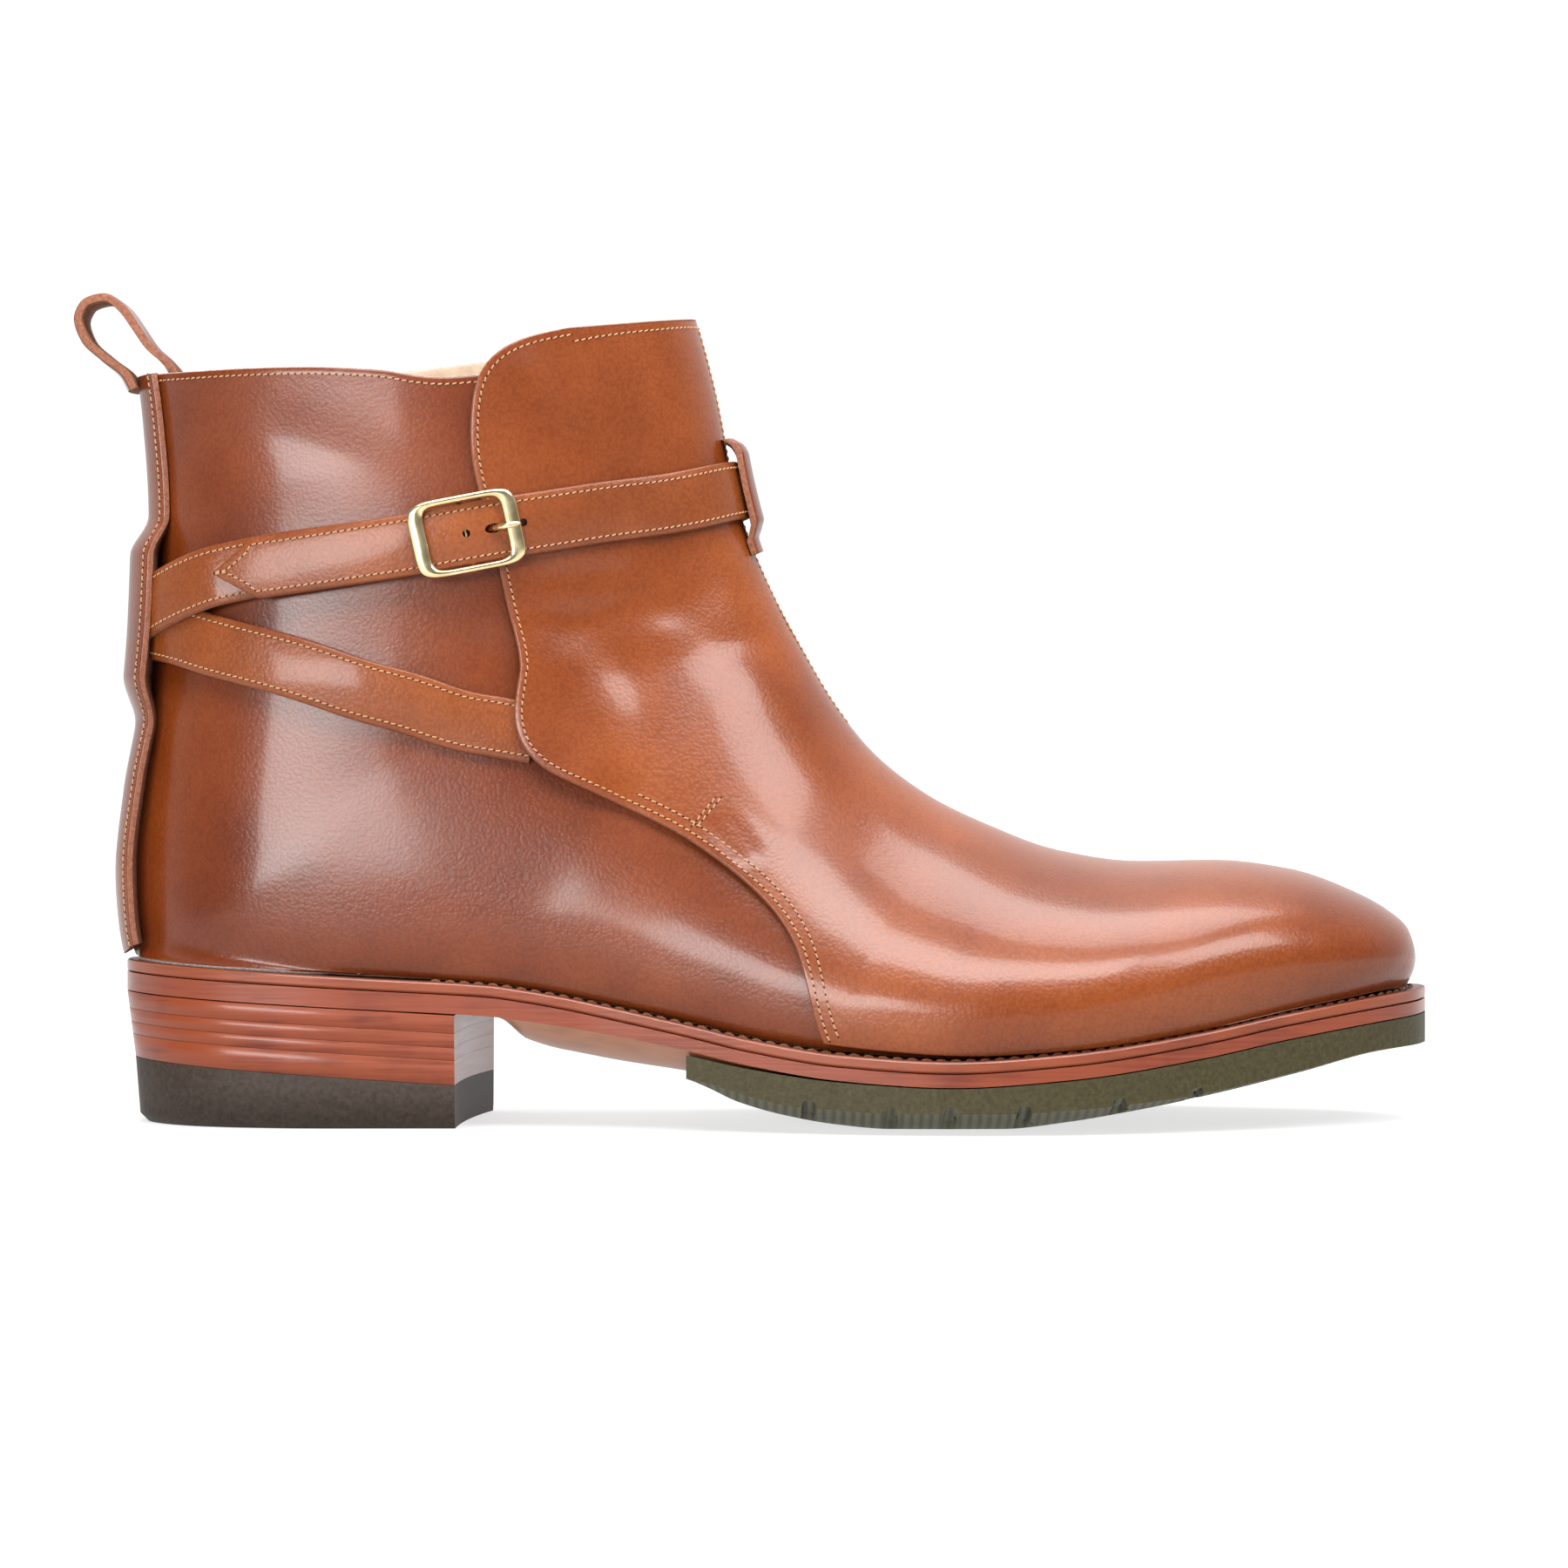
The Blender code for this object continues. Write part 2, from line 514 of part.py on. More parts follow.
def tube(name, points, radius, stuff, sides=8):
    """A round bar with flat ends along the given points, as a closed mesh."""
    curve = bpy.data.curves.new(name, "CURVE")
    curve.dimensions = "3D"
    curve.bevel_depth = radius
    curve.bevel_resolution = sides // 2 - 2
    curve.use_fill_caps = True
    spline = curve.splines.new("POLY")
    spline.points.add(len(points) - 1)
    for point, place in zip(spline.points, points):
        point.co = (*place, 1.0)
    guide = bpy.data.objects.new(name + "_line", curve)
    boot.objects.link(guide)
    bpy.context.view_layer.update()
    evaluated = guide.evaluated_get(bpy.context.evaluated_depsgraph_get())
    mesh = bpy.data.meshes.new_from_object(evaluated)
    bpy.data.objects.remove(guide)
    shape = bmesh.new()
    shape.from_mesh(mesh)
    bmesh.ops.remove_doubles(shape, verts=shape.verts, dist=0.00001)
    bmesh.ops.recalc_face_normals(shape, faces=shape.faces)
    shape.to_mesh(mesh)
    shape.free()
    mesh.materials.clear()
    mesh.materials.append(material(*stuff))
    mesh.shade_smooth()
    made = bpy.data.objects.new(name, mesh)
    boot.objects.link(made)
    return made


def cut_or_join(target, tool, operation, keep_tool=True):
    """Boolean of the target with a tool that is then hidden or removed."""
    boolean = target.modifiers.new(operation.title(), "BOOLEAN")
    boolean.operation = operation
    boolean.object = tool
    if keep_tool:
        tool.hide_render = True
        tool.display_type = "WIRE"


def apply_modifiers(target):
    """Replace an object's mesh by what its modifiers make of it."""
    bpy.context.view_layer.update()
    evaluated = target.evaluated_get(bpy.context.evaluated_depsgraph_get())
    mesh = bpy.data.meshes.new_from_object(evaluated)
    target.modifiers.clear()
    target.data = mesh


def spread(turn, row):
    """Places across a section that draw together towards the toe, where it is small."""
    near_toe = np.clip(1.0 - row / 6.0, 0.0, 1.0) ** 1.5
    edge = FOOT_TURN + (TOE_TURN - FOOT_TURN) * near_toe
    reach = np.abs(turn)
    inside = reach * edge / FOOT_TURN
    outside = 1.0 - (1.0 - reach) * (1.0 - edge) / (1.0 - FOOT_TURN)
    return np.sign(turn) * np.where(reach <= FOOT_TURN, inside, outside)


def slide(row, turn, offset):
    """Row and turn reached by moving over the upper by the given offsets."""
    start = skin(row, turn)
    here_row = np.array(row, dtype=float)
    here_turn = np.array(turn, dtype=float)
    small = 0.003
    for _ in range(4):
        left = start + offset - skin(here_row, here_turn)
        by_row = (skin(here_row + small, here_turn) - skin(here_row - small, here_turn)) / (2 * small)
        by_turn = (skin(here_row, here_turn + small) - skin(here_row, here_turn - small)) / (2 * small)
        rr = np.sum(by_row * by_row, axis=-1)
        rt = np.sum(by_row * by_turn, axis=-1)
        tt = np.sum(by_turn * by_turn, axis=-1)
        to_row = np.sum(by_row * left, axis=-1)
        to_turn = np.sum(by_turn * left, axis=-1)
        area = np.maximum(rr * tt - rt * rt, 1e-14)
        here_row = here_row + (to_row * tt - to_turn * rt) / area
        here_turn = here_turn + (to_turn * rr - to_row * rt) / area
        here_row = np.clip(here_row, 0.0, len(SECTIONS) - 1.0)
    return here_row, here_turn


def layer_lift(layer):
    """Height over the upper of a strap's underside on the given layer."""
    on_panel = PANEL_GAP + PANEL_WALL + GAP
    return np.where(layer <= 1.0, SEAT_GAP + layer * (on_panel - SEAT_GAP),
                    on_panel + (layer - 1.0) * (STRAP_WALL + GAP))


def along_skin(places, count):
    """Equal steps over the upper through places given by row, turn and other values."""
    spots = skin(places[:, 0], places[:, 1])
    lengths = np.concatenate([[0.0], np.cumsum(np.linalg.norm(np.diff(spots, axis=0), axis=1))])
    at = np.linspace(0.0, lengths[-1], count)
    return np.stack([smooth_curve(lengths, column, at) for column in places.T], axis=-1)


def strap_path(route, count):
    """Row, turn, lift, tangent and binormal at equal steps along a strap's route."""
    places = []
    for side, x, z, layer in route:
        row, turn = find_on_skin(side, place_along(x), z * UPPER_HEIGHT)
        if places:
            turn += 2.0 * round((places[-1][1] - turn) / 2.0)
        places.append((row, turn, layer))
    row, turn, layer = along_skin(np.array(places), count).T
    tangent = unit(np.gradient(skin(row, turn), axis=0))
    across = unit(np.cross(skin_normal(row, turn), tangent))
    return row, turn, layer_lift(layer), tangent, across


def strap(name, route, count, stuff, pointed=False):
    """A flat strap that follows the upper, with its own layer at each place."""
    row, turn, lift, _, across = strap_path(route, count)
    length = np.sum(np.linalg.norm(np.diff(skin(row, turn), axis=0), axis=1))
    half = np.full(count, STRAP_WIDTH / 2.0)
    if pointed:
        left = length * (1.0 - np.linspace(0.0, 1.0, count))
        half = half * np.clip(left / TIP_LENGTH, 0.04, 1.0)
    columns = []
    for share in (-1.0, 0.0, 1.0):
        at_row, at_turn = slide(row, turn, across * (half * share)[:, None])
        columns.append(lifted(at_row, at_turn, lift))
    return sheet(name, np.stack(columns, axis=1), STRAP_WALL, stuff)


def feather_loop():
    """The feather line in plan, along the outer side to the toe and home on the inner side."""
    rows = np.linspace(HEEL_ROW, 0.0, 600)
    x = place_along(row_value("end_x", rows))
    outer = -row_value("foot_outer", rows) * BALL_WIDTH
    inner = row_value("foot_inner", rows) * BALL_WIDTH
    loop = np.concatenate([np.stack([x, outer], axis=-1),
                           np.stack([x[::-1], inner[::-1]], axis=-1)[:-1]])
    steps = np.linalg.norm(np.roll(loop, -1, axis=0) - loop, axis=1)
    lengths = np.concatenate([[0.0], np.cumsum(steps)])
    closed = np.concatenate([loop, loop[:1]])
    at = np.linspace(0.0, lengths[-1], 720, endpoint=False)
    even = np.stack([np.interp(at, lengths, closed[:, axis]) for axis in (0, 1)], axis=-1)
    window = range(-4, 5)
    return sum(np.roll(even, shift, axis=0) for shift in window) / len(window)


def plan_loop(reach_share, extra):
    """The feather line moved outwards by a share of the welt's reach and an extra width."""
    loop = feather_loop()
    along = np.roll(loop, -2, axis=0) - np.roll(loop, 2, axis=0)
    along /= np.linalg.norm(along, axis=1, keepdims=True)
    outwards = np.stack([along[:, 1], -along[:, 0]], axis=-1)
    outer_side = np.arange(len(loop)) < np.argmax(loop[:, 0])
    reach = WELT_REACH * np.where(outer_side, bottom_value("outer", loop[:, 0]),
                                  bottom_value("inner", loop[:, 0]))
    extra = extra(loop[:, 0]) if callable(extra) else extra
    return loop + outwards * (reach * reach_share + extra)[:, None]


def edges(reach_share, extra, count, start=None, end=None):
    """Both edges of a plan outline, from its heel or start to its toe or end."""
    loop = plan_loop(reach_share, extra)
    loop = np.roll(loop, -int(np.argmin(loop[:, 0])), axis=0)
    toe = int(np.argmax(loop[:, 0]))
    sides = []
    for line in (loop[:toe + 1], np.concatenate([loop[toe:], loop[:1]])[::-1]):
        lengths = np.concatenate([[0.0], np.cumsum(np.linalg.norm(np.diff(line, axis=0), axis=1))])
        low = np.interp(start, line[:, 0], lengths) if start is not None else 0.0
        high = np.interp(end, line[:, 0], lengths) if end is not None else lengths[-1]
        even = np.linspace(0.0, 1.0, count)
        rounded = (1.0 - np.cos(math.pi * even)) / 2.0
        share = even if start is not None and end is not None else 0.45 * even + 0.55 * rounded
        at = low + (high - low) * share
        sides.append(np.stack([np.interp(at, lengths, line[:, axis]) for axis in (0, 1)], axis=-1))
    return sides


def plate_grid(outer, inner, shares, height):
    """Points across a plate: a row for each pair of edge points, a column for each share."""
    across = np.asarray(shares)
    mix = (across[None, :, None] + 1.0) / 2.0
    plan = outer[:, None, :] * (1.0 - mix) + inner[:, None, :] * mix
    tall = height(plan[..., 0], np.broadcast_to(across, plan.shape[:2]))
    return np.concatenate([plan, tall[..., None]], axis=-1)


def leather_top(x):
    return welt_top(x) - WELT_WALL - GAP


def leather_edge(x):
    """Underside of the leather sole at its edge, thinner in the forepart."""
    forward = np.clip((np.asarray(x) - place_along(0.29)) / (place_along(0.45) - place_along(0.29)), 0, 1)
    forward = forward * forward * (3.0 - 2.0 * forward)
    wall = LEATHER_AT_HEEL + (LEATHER_AT_FOREPART - LEATHER_AT_HEEL) * forward
    return leather_top(x) - wall


def leather_bottom(x, across):
    bulge = WAIST_BULGE * bottom_value("bulge", x)
    return leather_edge(x) - bulge * (1.0 - np.abs(across) ** 2.2)


def rubber_top(x, across):
    """Follows the leather sole, a little freer where that is rounded."""
    return leather_bottom(x, across) - GAP * (1.0 + 3.0 * bottom_value("bulge", x))


def rubber_bottom(x, across):
    """Flat in the middle, and turned up towards both edges."""
    turned = np.clip((np.abs(across) - FLAT_SHARE) / (1.0 - FLAT_SHARE), 0.0, 1.0)
    return rubber_value("floor", x) + rubber_value("edge", x) * turned ** 1.6


def seat_plane(x):
    """The plane on which the stacked heel meets the sole."""
    back, front = place_along(0.010), place_along(0.198)
    slope = float(leather_edge(front) - leather_edge(back)) / (front - back)
    return leather_edge(back) + slope * (x - back) - GAP


def top_piece_plane(x):
    return TOP_PIECE_HEIGHT - TOP_PIECE_SLOPE * x


def heel_plan(inset):
    """The heel's outline in plan, counter-clockwise, closed by its hollow breast."""
    outer, inner = edges(1.0, -inset, 11, end=BREAST_X)
    inner = edges(1.0, -inset, 11, end=BREAST_X + BREAST_SKEW)[1]
    share = np.linspace(0.0, 1.0, 6)[1:-1, None]
    breast = outer[-1] * (1.0 - share) + inner[-1] * share
    breast[:, 0] -= BREAST_HOLLOW * 4.0 * (share * (1.0 - share))[:, 0]
    return np.concatenate([inner[::-1], outer[1:], breast])


def heel_level(plane, share_down):
    """A loop of the heel: its plan at the taper that belongs to its place in the stack."""
    plan = heel_plan(HEEL_TAPER * share_down)
    return np.concatenate([plan, plane(plan[:, 0])[:, None]], axis=-1)


def turn_at_width(row, width):
    """How far round a section reaches the given half width, on its lower arc."""
    foot = row_value("foot_outer", row) * BALL_WIDTH
    wide = row_value("outer", row) * BALL_WIDTH
    share = np.clip((width - foot) / (wide - foot), 0.0, 1.0)
    return 0.5 + np.arccos(share ** (row_value("tuck", row) / 2.0)) / math.pi


# How the upper and the front panel share their sections: places across a half section,
# and the rows from the seam's foot to the toe.
TURN_SHARES = np.linspace(1.0, 0.0, 9) ** 0.9
TOE_ROWS = TOE_ROW + (SEAM_FOOT_ROW - TOE_ROW) * np.linspace(1.0, 0.0, 13) ** 1.15
BREAST_ROW = 14.0
MATCH_ROW = 12.4

BAR_LIFT = SEAT_GAP + CENTRE_BAR_RADIUS + 2.0 * GAP
FRAME_LIFT = BAR_LIFT + CENTRE_BAR_RADIUS + 2.0 * GAP + STRAP_WALL + GAP

for leftover in list(bpy.data.objects):
    bpy.data.objects.remove(leftover)
boot = bpy.data.collections.new("jodhpur_boot")
bpy.context.scene.collection.children.link(boot)
cutters = bpy.data.collections.new("cutters")
bpy.context.scene.collection.children.link(cutters)


def panel_line(side, outline):
    """The panel's edge on one side, from the collar to the foot of the seam."""
    places = np.concatenate([side_line(side, outline), [[SEAM_FOOT_ROW, side * FOOT_TURN]]])
    return along_skin(places, 240)


def vamp_rows(count):
    """Rows of the upper down to the seam's foot, at equal steps along the seam."""
    line = panel_line(-1.0, PANEL_EDGE_OUTER)
    rows = along_skin(line[int(np.argmax(line[:, 0] < BREAST_ROW)):], count)[:, 0]
    rows[0] = BREAST_ROW
    return rows


def build_upper():
    """Quarters and base of the front in one hollow, open at the collar and underneath."""
    outer_line = side_line(-1, COLLAR_OUTER)
    inner_line = side_line(1, COLLAR_INNER)
    ridge_top = float(np.interp(COLLAR_OUTER[-1][1], [section[1] for section in SECTIONS][13:],
                                np.arange(13, len(SECTIONS))))
    knots = np.concatenate([[-1.0], outer_line[:, 1], inner_line[::-1, 1], [1.0]])
    tops = np.concatenate([[outer_line[0, 0]], outer_line[:, 0], inner_line[::-1, 0],
                           [inner_line[0, 0]]])
    order = np.argsort(knots, kind="stable")
    knots, tops = knots[order], tops[order]
    keep = np.concatenate([[True], np.diff(knots) > 1e-4])
    half = np.concatenate([[1.0, 0.93, 0.86], FOOT_TURN * TURN_SHARES])
    turns = np.concatenate([-half, half[-2::-1]])
    top = np.minimum(smooth_curve(knots[keep], tops[keep], turns), ridge_top)
    top[0] = top[-1] = outer_line[0, 0]
    rows = np.concatenate([np.linspace(COLLAR_ROW, HEEL_ROW, 14)[:-1],
                           np.linspace(HEEL_ROW, BREAST_ROW, 6)[:-1],
                           VAMP_ROWS[:-1], TOE_ROWS, [0.0]])
    fade = np.clip((rows - FADE_ROW) / (COLLAR_ROW - FADE_ROW), 0.0, 1.0)
    row_grid = rows[:, None] - (COLLAR_ROW - top)[None, :] * fade[:, None]
    turn_grid = spread(turns[None, :], row_grid)
    sheet("upper", skin(row_grid, turn_grid), LINED_WALL, ("calf", CALF), outward=False)


def build_front_panel():
    """Vamp and flap in one: from the open outer edge over the ridge to the inner seam."""
    grids = []
    for side, outline in ((-1.0, PANEL_EDGE_OUTER), (1.0, PANEL_EDGE_INNER)):
        line = panel_line(side, outline)
        breast = int(np.argmax(line[:, 0] < BREAST_ROW))
        flap = along_skin(line[:breast], 18)[:-1]
        vamp_turn = np.interp(-VAMP_ROWS, -line[:, 0], line[:, 1])
        edge_row = np.concatenate([flap[:, 0], VAMP_ROWS, TOE_ROWS[1:]])
        edge_turn = np.concatenate([flap[:, 1], vamp_turn,
                                    np.full(len(TOE_ROWS) - 1, side * FOOT_TURN)])
        down = np.clip(1.0 - np.arange(len(edge_row)) / 9.0, 0.0, 1.0)
        ridge_row = edge_row + (COLLAR_ROW - line[0, 0]) * down ** 2
        share = TURN_SHARES[None, :]
        row = ridge_row[:, None] + (edge_row - ridge_row)[:, None] * share
        own = np.clip((edge_row - MATCH_ROW) / (BREAST_ROW - MATCH_ROW), 0.0, 1.0)
        reach = np.abs(edge_turn) * own + FOOT_TURN * (1.0 - own)
        across = np.minimum(reach[:, None] * share, np.abs(edge_turn)[:, None])
        turn = spread(side * across, row)
        grids.append((row, turn))
    (outer_row, outer_turn), (inner_row, inner_turn) = grids
    middle = (outer_row[:, -1] + inner_row[:, -1]) / 2.0
    outer_row[:, -1] = middle
    row = np.concatenate([outer_row, inner_row[:, -2::-1]], axis=1)
    turn = np.concatenate([outer_turn, inner_turn[:, -2::-1]], axis=1)
    points = skin(row, turn)
    hump = np.zeros(row.shape)
    for side, route in ((-1, LONG_STRAP[0]), (1, BUCKLE_STRAP[-1])):
        spot = skin(*find_on_skin(side, place_along(route[1]), route[2] * UPPER_HEIGHT))
        distance = np.linalg.norm(points - spot, axis=-1)
        near = np.clip(1.0 - (distance - STRAP_WIDTH) / STRAP_WIDTH, 0.0, 1.0)
        hump = np.maximum(hump, near * near * (3.0 - 2.0 * near))
    lift = PANEL_GAP + hump * (STRAP_WALL + GAP)
    sheet("front_panel", lifted(row, turn, lift), PANEL_WALL, ("calf_panel", CALF_PANEL))


def build_back_stay():
    """The strip over the back seam, which stands out where the straps pass under it."""
    top_row = side_line(-1, COLLAR_OUTER[:1])[0, 0]
    columns = []
    for share in np.linspace(1.0, -1.0, 5):
        rows = np.linspace(top_row, STAY_FOOT_ROW, 27)
        half = STAY_WIDTH_TOP + (STAY_WIDTH_FOOT - STAY_WIDTH_TOP) * np.linspace(0.0, 1.0, 27)
        turn = turn_at_width(rows, abs(share) * half / 2.0)
        turn = np.where(share == 0.0, 1.0, turn) * (1.0 if share >= 0.0 else -1.0)
        height = skin(rows, turn)[:, 2] / UPPER_HEIGHT
        hump = smooth_curve(STAY_HUMP[0], STAY_HUMP[1], height)
        lift = SEAT_GAP + hump * (layer_lift(2.1) - SEAT_GAP)
        columns.append(lifted(rows, turn, lift))
    sheet("back_stay", np.stack(columns, axis=1), STAY_WALL, ("calf", CALF))


def build_pull_loop():
    """A band sewn outside the stay and inside the collar, standing up as a teardrop."""
    back = skin(*side_line(-1, COLLAR_OUTER[:1])[0])
    route = resample(np.array(LOOP_ROUTE) * (LOOP_RISE, LOOP_RISE, 0.01), 24)
    shares = np.linspace(-1.0, 1.0, 5)
    y = shares[None, :] * LOOP_WIDTH / 2.0
    curl = route[:, 2:3] / 0.01 * y * y / (2.0 * LOOP_CURL_RADIUS)
    x = back[0] + route[:, 0:1] + curl
    z = back[2] + np.broadcast_to(route[:, 1:2], x.shape)
    grid = np.stack([x, np.broadcast_to(y, x.shape), z], axis=-1)
    made = sheet("pull_loop", grid, LOOP_WALL, ("calf", CALF))
    made.modifiers["Wall"].offset = 0.0


def build_keeper():
    """A short band down the front seam, standing off so that the strap passes under it."""
    route = resample(np.array(KEEPER_ROUTE) * (1.0, 0.02), 15) / (1.0, 0.02)
    rows = np.interp(route[:, 0], row_value("ridge_z", np.arange(10.0, 28.0)), np.arange(10.0, 28.0))
    rise = STRAP_WALL + GAP + KEEPER_ROOM
    lift = PANEL_GAP + PANEL_WALL + GAP + np.clip(route[:, 1], 0.0, 1.0) * rise
    columns = []
    for share in np.linspace(-1.0, 1.0, 5):
        offset = np.array([0.0, share * KEEPER_WIDTH / 2.0, 0.0])
        at_row, at_turn = slide(rows, np.full(len(rows), 1e-4), offset)
        columns.append(lifted(at_row, at_turn, lift))
    sheet("keeper", np.stack(columns, axis=1), KEEPER_WALL, ("calf", CALF))


def buckle_place():
    """Row, turn and directions at the middle of the buckle, on the strap's centre line."""
    row, turn, _, tangent, across = strap_path(BUCKLE_STRAP[::-1], 200)
    return row[-1], turn[-1], tangent[-1], across[-1]


def on_buckle(along, across, lift):
    """A point of the buckle: along and across the strap, and its height over the upper."""
    row, turn, forward, sideways = BUCKLE
    along = np.asarray(along, dtype=float) + BUCKLE_AHEAD
    offset = along[..., None] * forward + np.asarray(across, dtype=float)[..., None] * sideways
    rows = np.full(offset.shape[:-1], row)
    turns = np.full(offset.shape[:-1], turn)
    at_row, at_turn = slide(rows, turns, offset)
    return lifted(at_row, at_turn, np.broadcast_to(lift, rows.shape))


def rounded_outline(half_length, half_height, exponent, angles):
    """A superellipse: nearly straight sides, with corners rounded by the exponent."""
    cosine, sine = np.cos(angles), np.sin(angles)
    power = 2.0 / exponent
    return (half_length * np.sign(cosine) * np.abs(cosine) ** power,
            half_height * np.sign(sine) * np.abs(sine) ** power)


def build_buckle():
    """A brass frame with flat ends, round sides and a bar across its middle."""
    inner_height = STRAP_WIDTH / 2.0 + BUCKLE_ROOM
    outer_height = inner_height + BUCKLE_SIDE_BAR
    inner_length = BUCKLE_LENGTH / 2.0 - BUCKLE_END_BAR
    even = np.linspace(0.0, 2.0 * math.pi, 36, endpoint=False)
    angles = even - 0.22 * np.sin(4.0 * even)
    outer = rounded_outline(BUCKLE_LENGTH / 2.0, outer_height, 4.5, angles)
    inner = rounded_outline(inner_length, inner_height, 5.5, angles)
    rings = []
    for mix, share in ((0.0, 0.0), (0.0, 0.6), (0.22, 1.0), (0.78, 1.0), (1.0, 0.6), (1.0, 0.0)):
        along = outer[0] * (1.0 - mix) + inner[0] * mix
        across = outer[1] * (1.0 - mix) + inner[1] * mix
        rings.append(on_buckle(along, across, FRAME_LIFT + share * BUCKLE_WALL))
    count = len(even)
    faces = []
    for ring in range(len(rings)):
        beside = (ring + 1) % len(rings)
        for index in range(count):
            after = (index + 1) % count
            faces.append([ring * count + index, ring * count + after,
                          beside * count + after, beside * count + index])
    frame = mesh_object("buckle_frame", np.concatenate(rings), faces, ("brass", BRASS))
    foot = inner_height + BUCKLE_SIDE_BAR / 2.0
    high = FRAME_LIFT + BUCKLE_WALL / 2.0
    across = np.array([-foot, -foot, -foot + 0.0004, -foot + 0.0012, foot - 0.0012,
                       foot - 0.0004, foot, foot])
    lift = np.array([high, BAR_LIFT + 0.0012, BAR_LIFT + 0.0003, BAR_LIFT, BAR_LIFT,
                     BAR_LIFT + 0.0003, BAR_LIFT + 0.0012, high])
    bar = tube("centre_bar", on_buckle(np.zeros(8), across, lift), CENTRE_BAR_RADIUS,
               ("brass", BRASS))
    cut_or_join(frame, bar, "UNION")
    apply_modifiers(frame)
    bpy.data.objects.remove(bar)


def build_prong():
    """The prong, which comes up through the strap and rests on the front bar."""
    along = [share * BUCKLE_LENGTH / 2.0 for share, _ in PRONG_ROUTE]
    top = FRAME_LIFT + BUCKLE_WALL
    lift = np.array([share * top for _, share in PRONG_ROUTE])
    tube("buckle_prong", on_buckle(along, np.zeros(len(along)), lift), PRONG_RADIUS,
         ("brass", BRASS))


def punch(name, target, along, length, width):
    """A hole through the long strap at a distance along it from the buckle's bar."""
    middle = on_buckle(along, 0.0, FRAME_LIFT)
    side = on_buckle(along, 0.001, FRAME_LIFT) - middle
    ahead = on_buckle(along + 0.001, 0.0, FRAME_LIFT) - middle
    side, ahead = unit(side), unit(ahead)
    up = np.cross(ahead, side)
    shape = bmesh.new()
    bmesh.ops.create_cone(shape, cap_ends=True, segments=10, radius1=0.5, radius2=0.5, depth=1.0)
    mesh = bpy.data.meshes.new(name)
    shape.to_mesh(mesh)
    shape.free()
    corners = np.array([vertex.co for vertex in mesh.vertices])
    placed = (middle + corners[:, :1] * length * ahead + corners[:, 1:2] * width * side
              + corners[:, 2:3] * 0.012 * up)
    mesh.vertices.foreach_set("co", placed.ravel())
    mesh.update()
    tool = bpy.data.objects.new(name, mesh)
    cutters.objects.link(tool)
    cut_or_join(target, tool, "DIFFERENCE")


def build_straps():
    """The long strap that is fastened, and the short one that holds the buckle."""
    long_strap = strap("long_strap", LONG_STRAP, 66, ("calf_panel", CALF_PANEL), pointed=True)
    strap("buckle_strap", BUCKLE_STRAP, 36, ("calf_panel", CALF_PANEL))
    punch("prong_hole", long_strap, 0.50 * BUCKLE_LENGTH / 2.0, PRONG_HOLE_LENGTH, PRONG_HOLE_WIDTH)
    for index, along in enumerate((0.0, STRAP_HOLE_PITCH)):
        punch("strap_hole_%d" % (index + 1), long_strap, along, 2.0 * STRAP_HOLE_RADIUS,
              2.0 * STRAP_HOLE_RADIUS)


def build_insole():
    """The inner sole, inside the turned foot of the upper."""
    def inset(x):
        back = np.clip((-x - 0.008) / 0.022, 0.0, 1.0)
        return -(INSOLE_INSET + (LINED_WALL + GAP) * back)
    outer, inner = edges(0.0, inset, 26)
    shares = (-1.0, -0.4, 0.4, 1.0)
    under = plate_grid(outer, inner, shares, lambda x, across: welt_top(x) + GAP)
    over = under + (0.0, 0.0, INSOLE_WALL)
    closed_between("insole", over, under, ("insole_leather", INSOLE_TONE))


def build_welt():
    """The strip of leather all round the feather line."""
    outside = plan_loop(1.0, 0.0)
    inside = plan_loop(0.0, -WELT_MARGIN)
    picks = np.linspace(0, len(outside), 90, endpoint=False).astype(int)
    outside, inside = outside[picks], inside[picks]
    top_in = np.concatenate([inside, welt_top(inside[:, :1])], axis=-1)
    top_out = np.concatenate([outside, welt_top(outside[:, :1])], axis=-1)
    rings = [top_in, top_out, top_out - (0.0, 0.0, WELT_WALL), top_in - (0.0, 0.0, WELT_WALL)]
    count = len(picks)
    faces = []
    for ring in range(4):
        beside = (ring + 1) % 4
        for index in range(count):
            after = (index + 1) % count
            faces.append([beside * count + index, beside * count + after,
                          ring * count + after, ring * count + index])
    mesh_object("welt", np.concatenate(rings), faces, ("welt_leather", WELT_TONE))


def build_outsole():
    """The leather sole at full length, with a rounded waist."""
    seat = edges(1.0, 0.0, 11, end=place_along(WAIST_START))
    front = edges(1.0, 0.0, 24, start=place_along(WAIST_START))
    outer, inner = [np.concatenate([back, rest[1:]]) for back, rest in zip(seat, front)]
    top = plate_grid(outer, inner, ACROSS, lambda x, across: leather_top(x))
    bottom = plate_grid(outer, inner, ACROSS, leather_bottom)
    closed_between("outsole", top, bottom, ("sole_leather", SOLE_TONE))


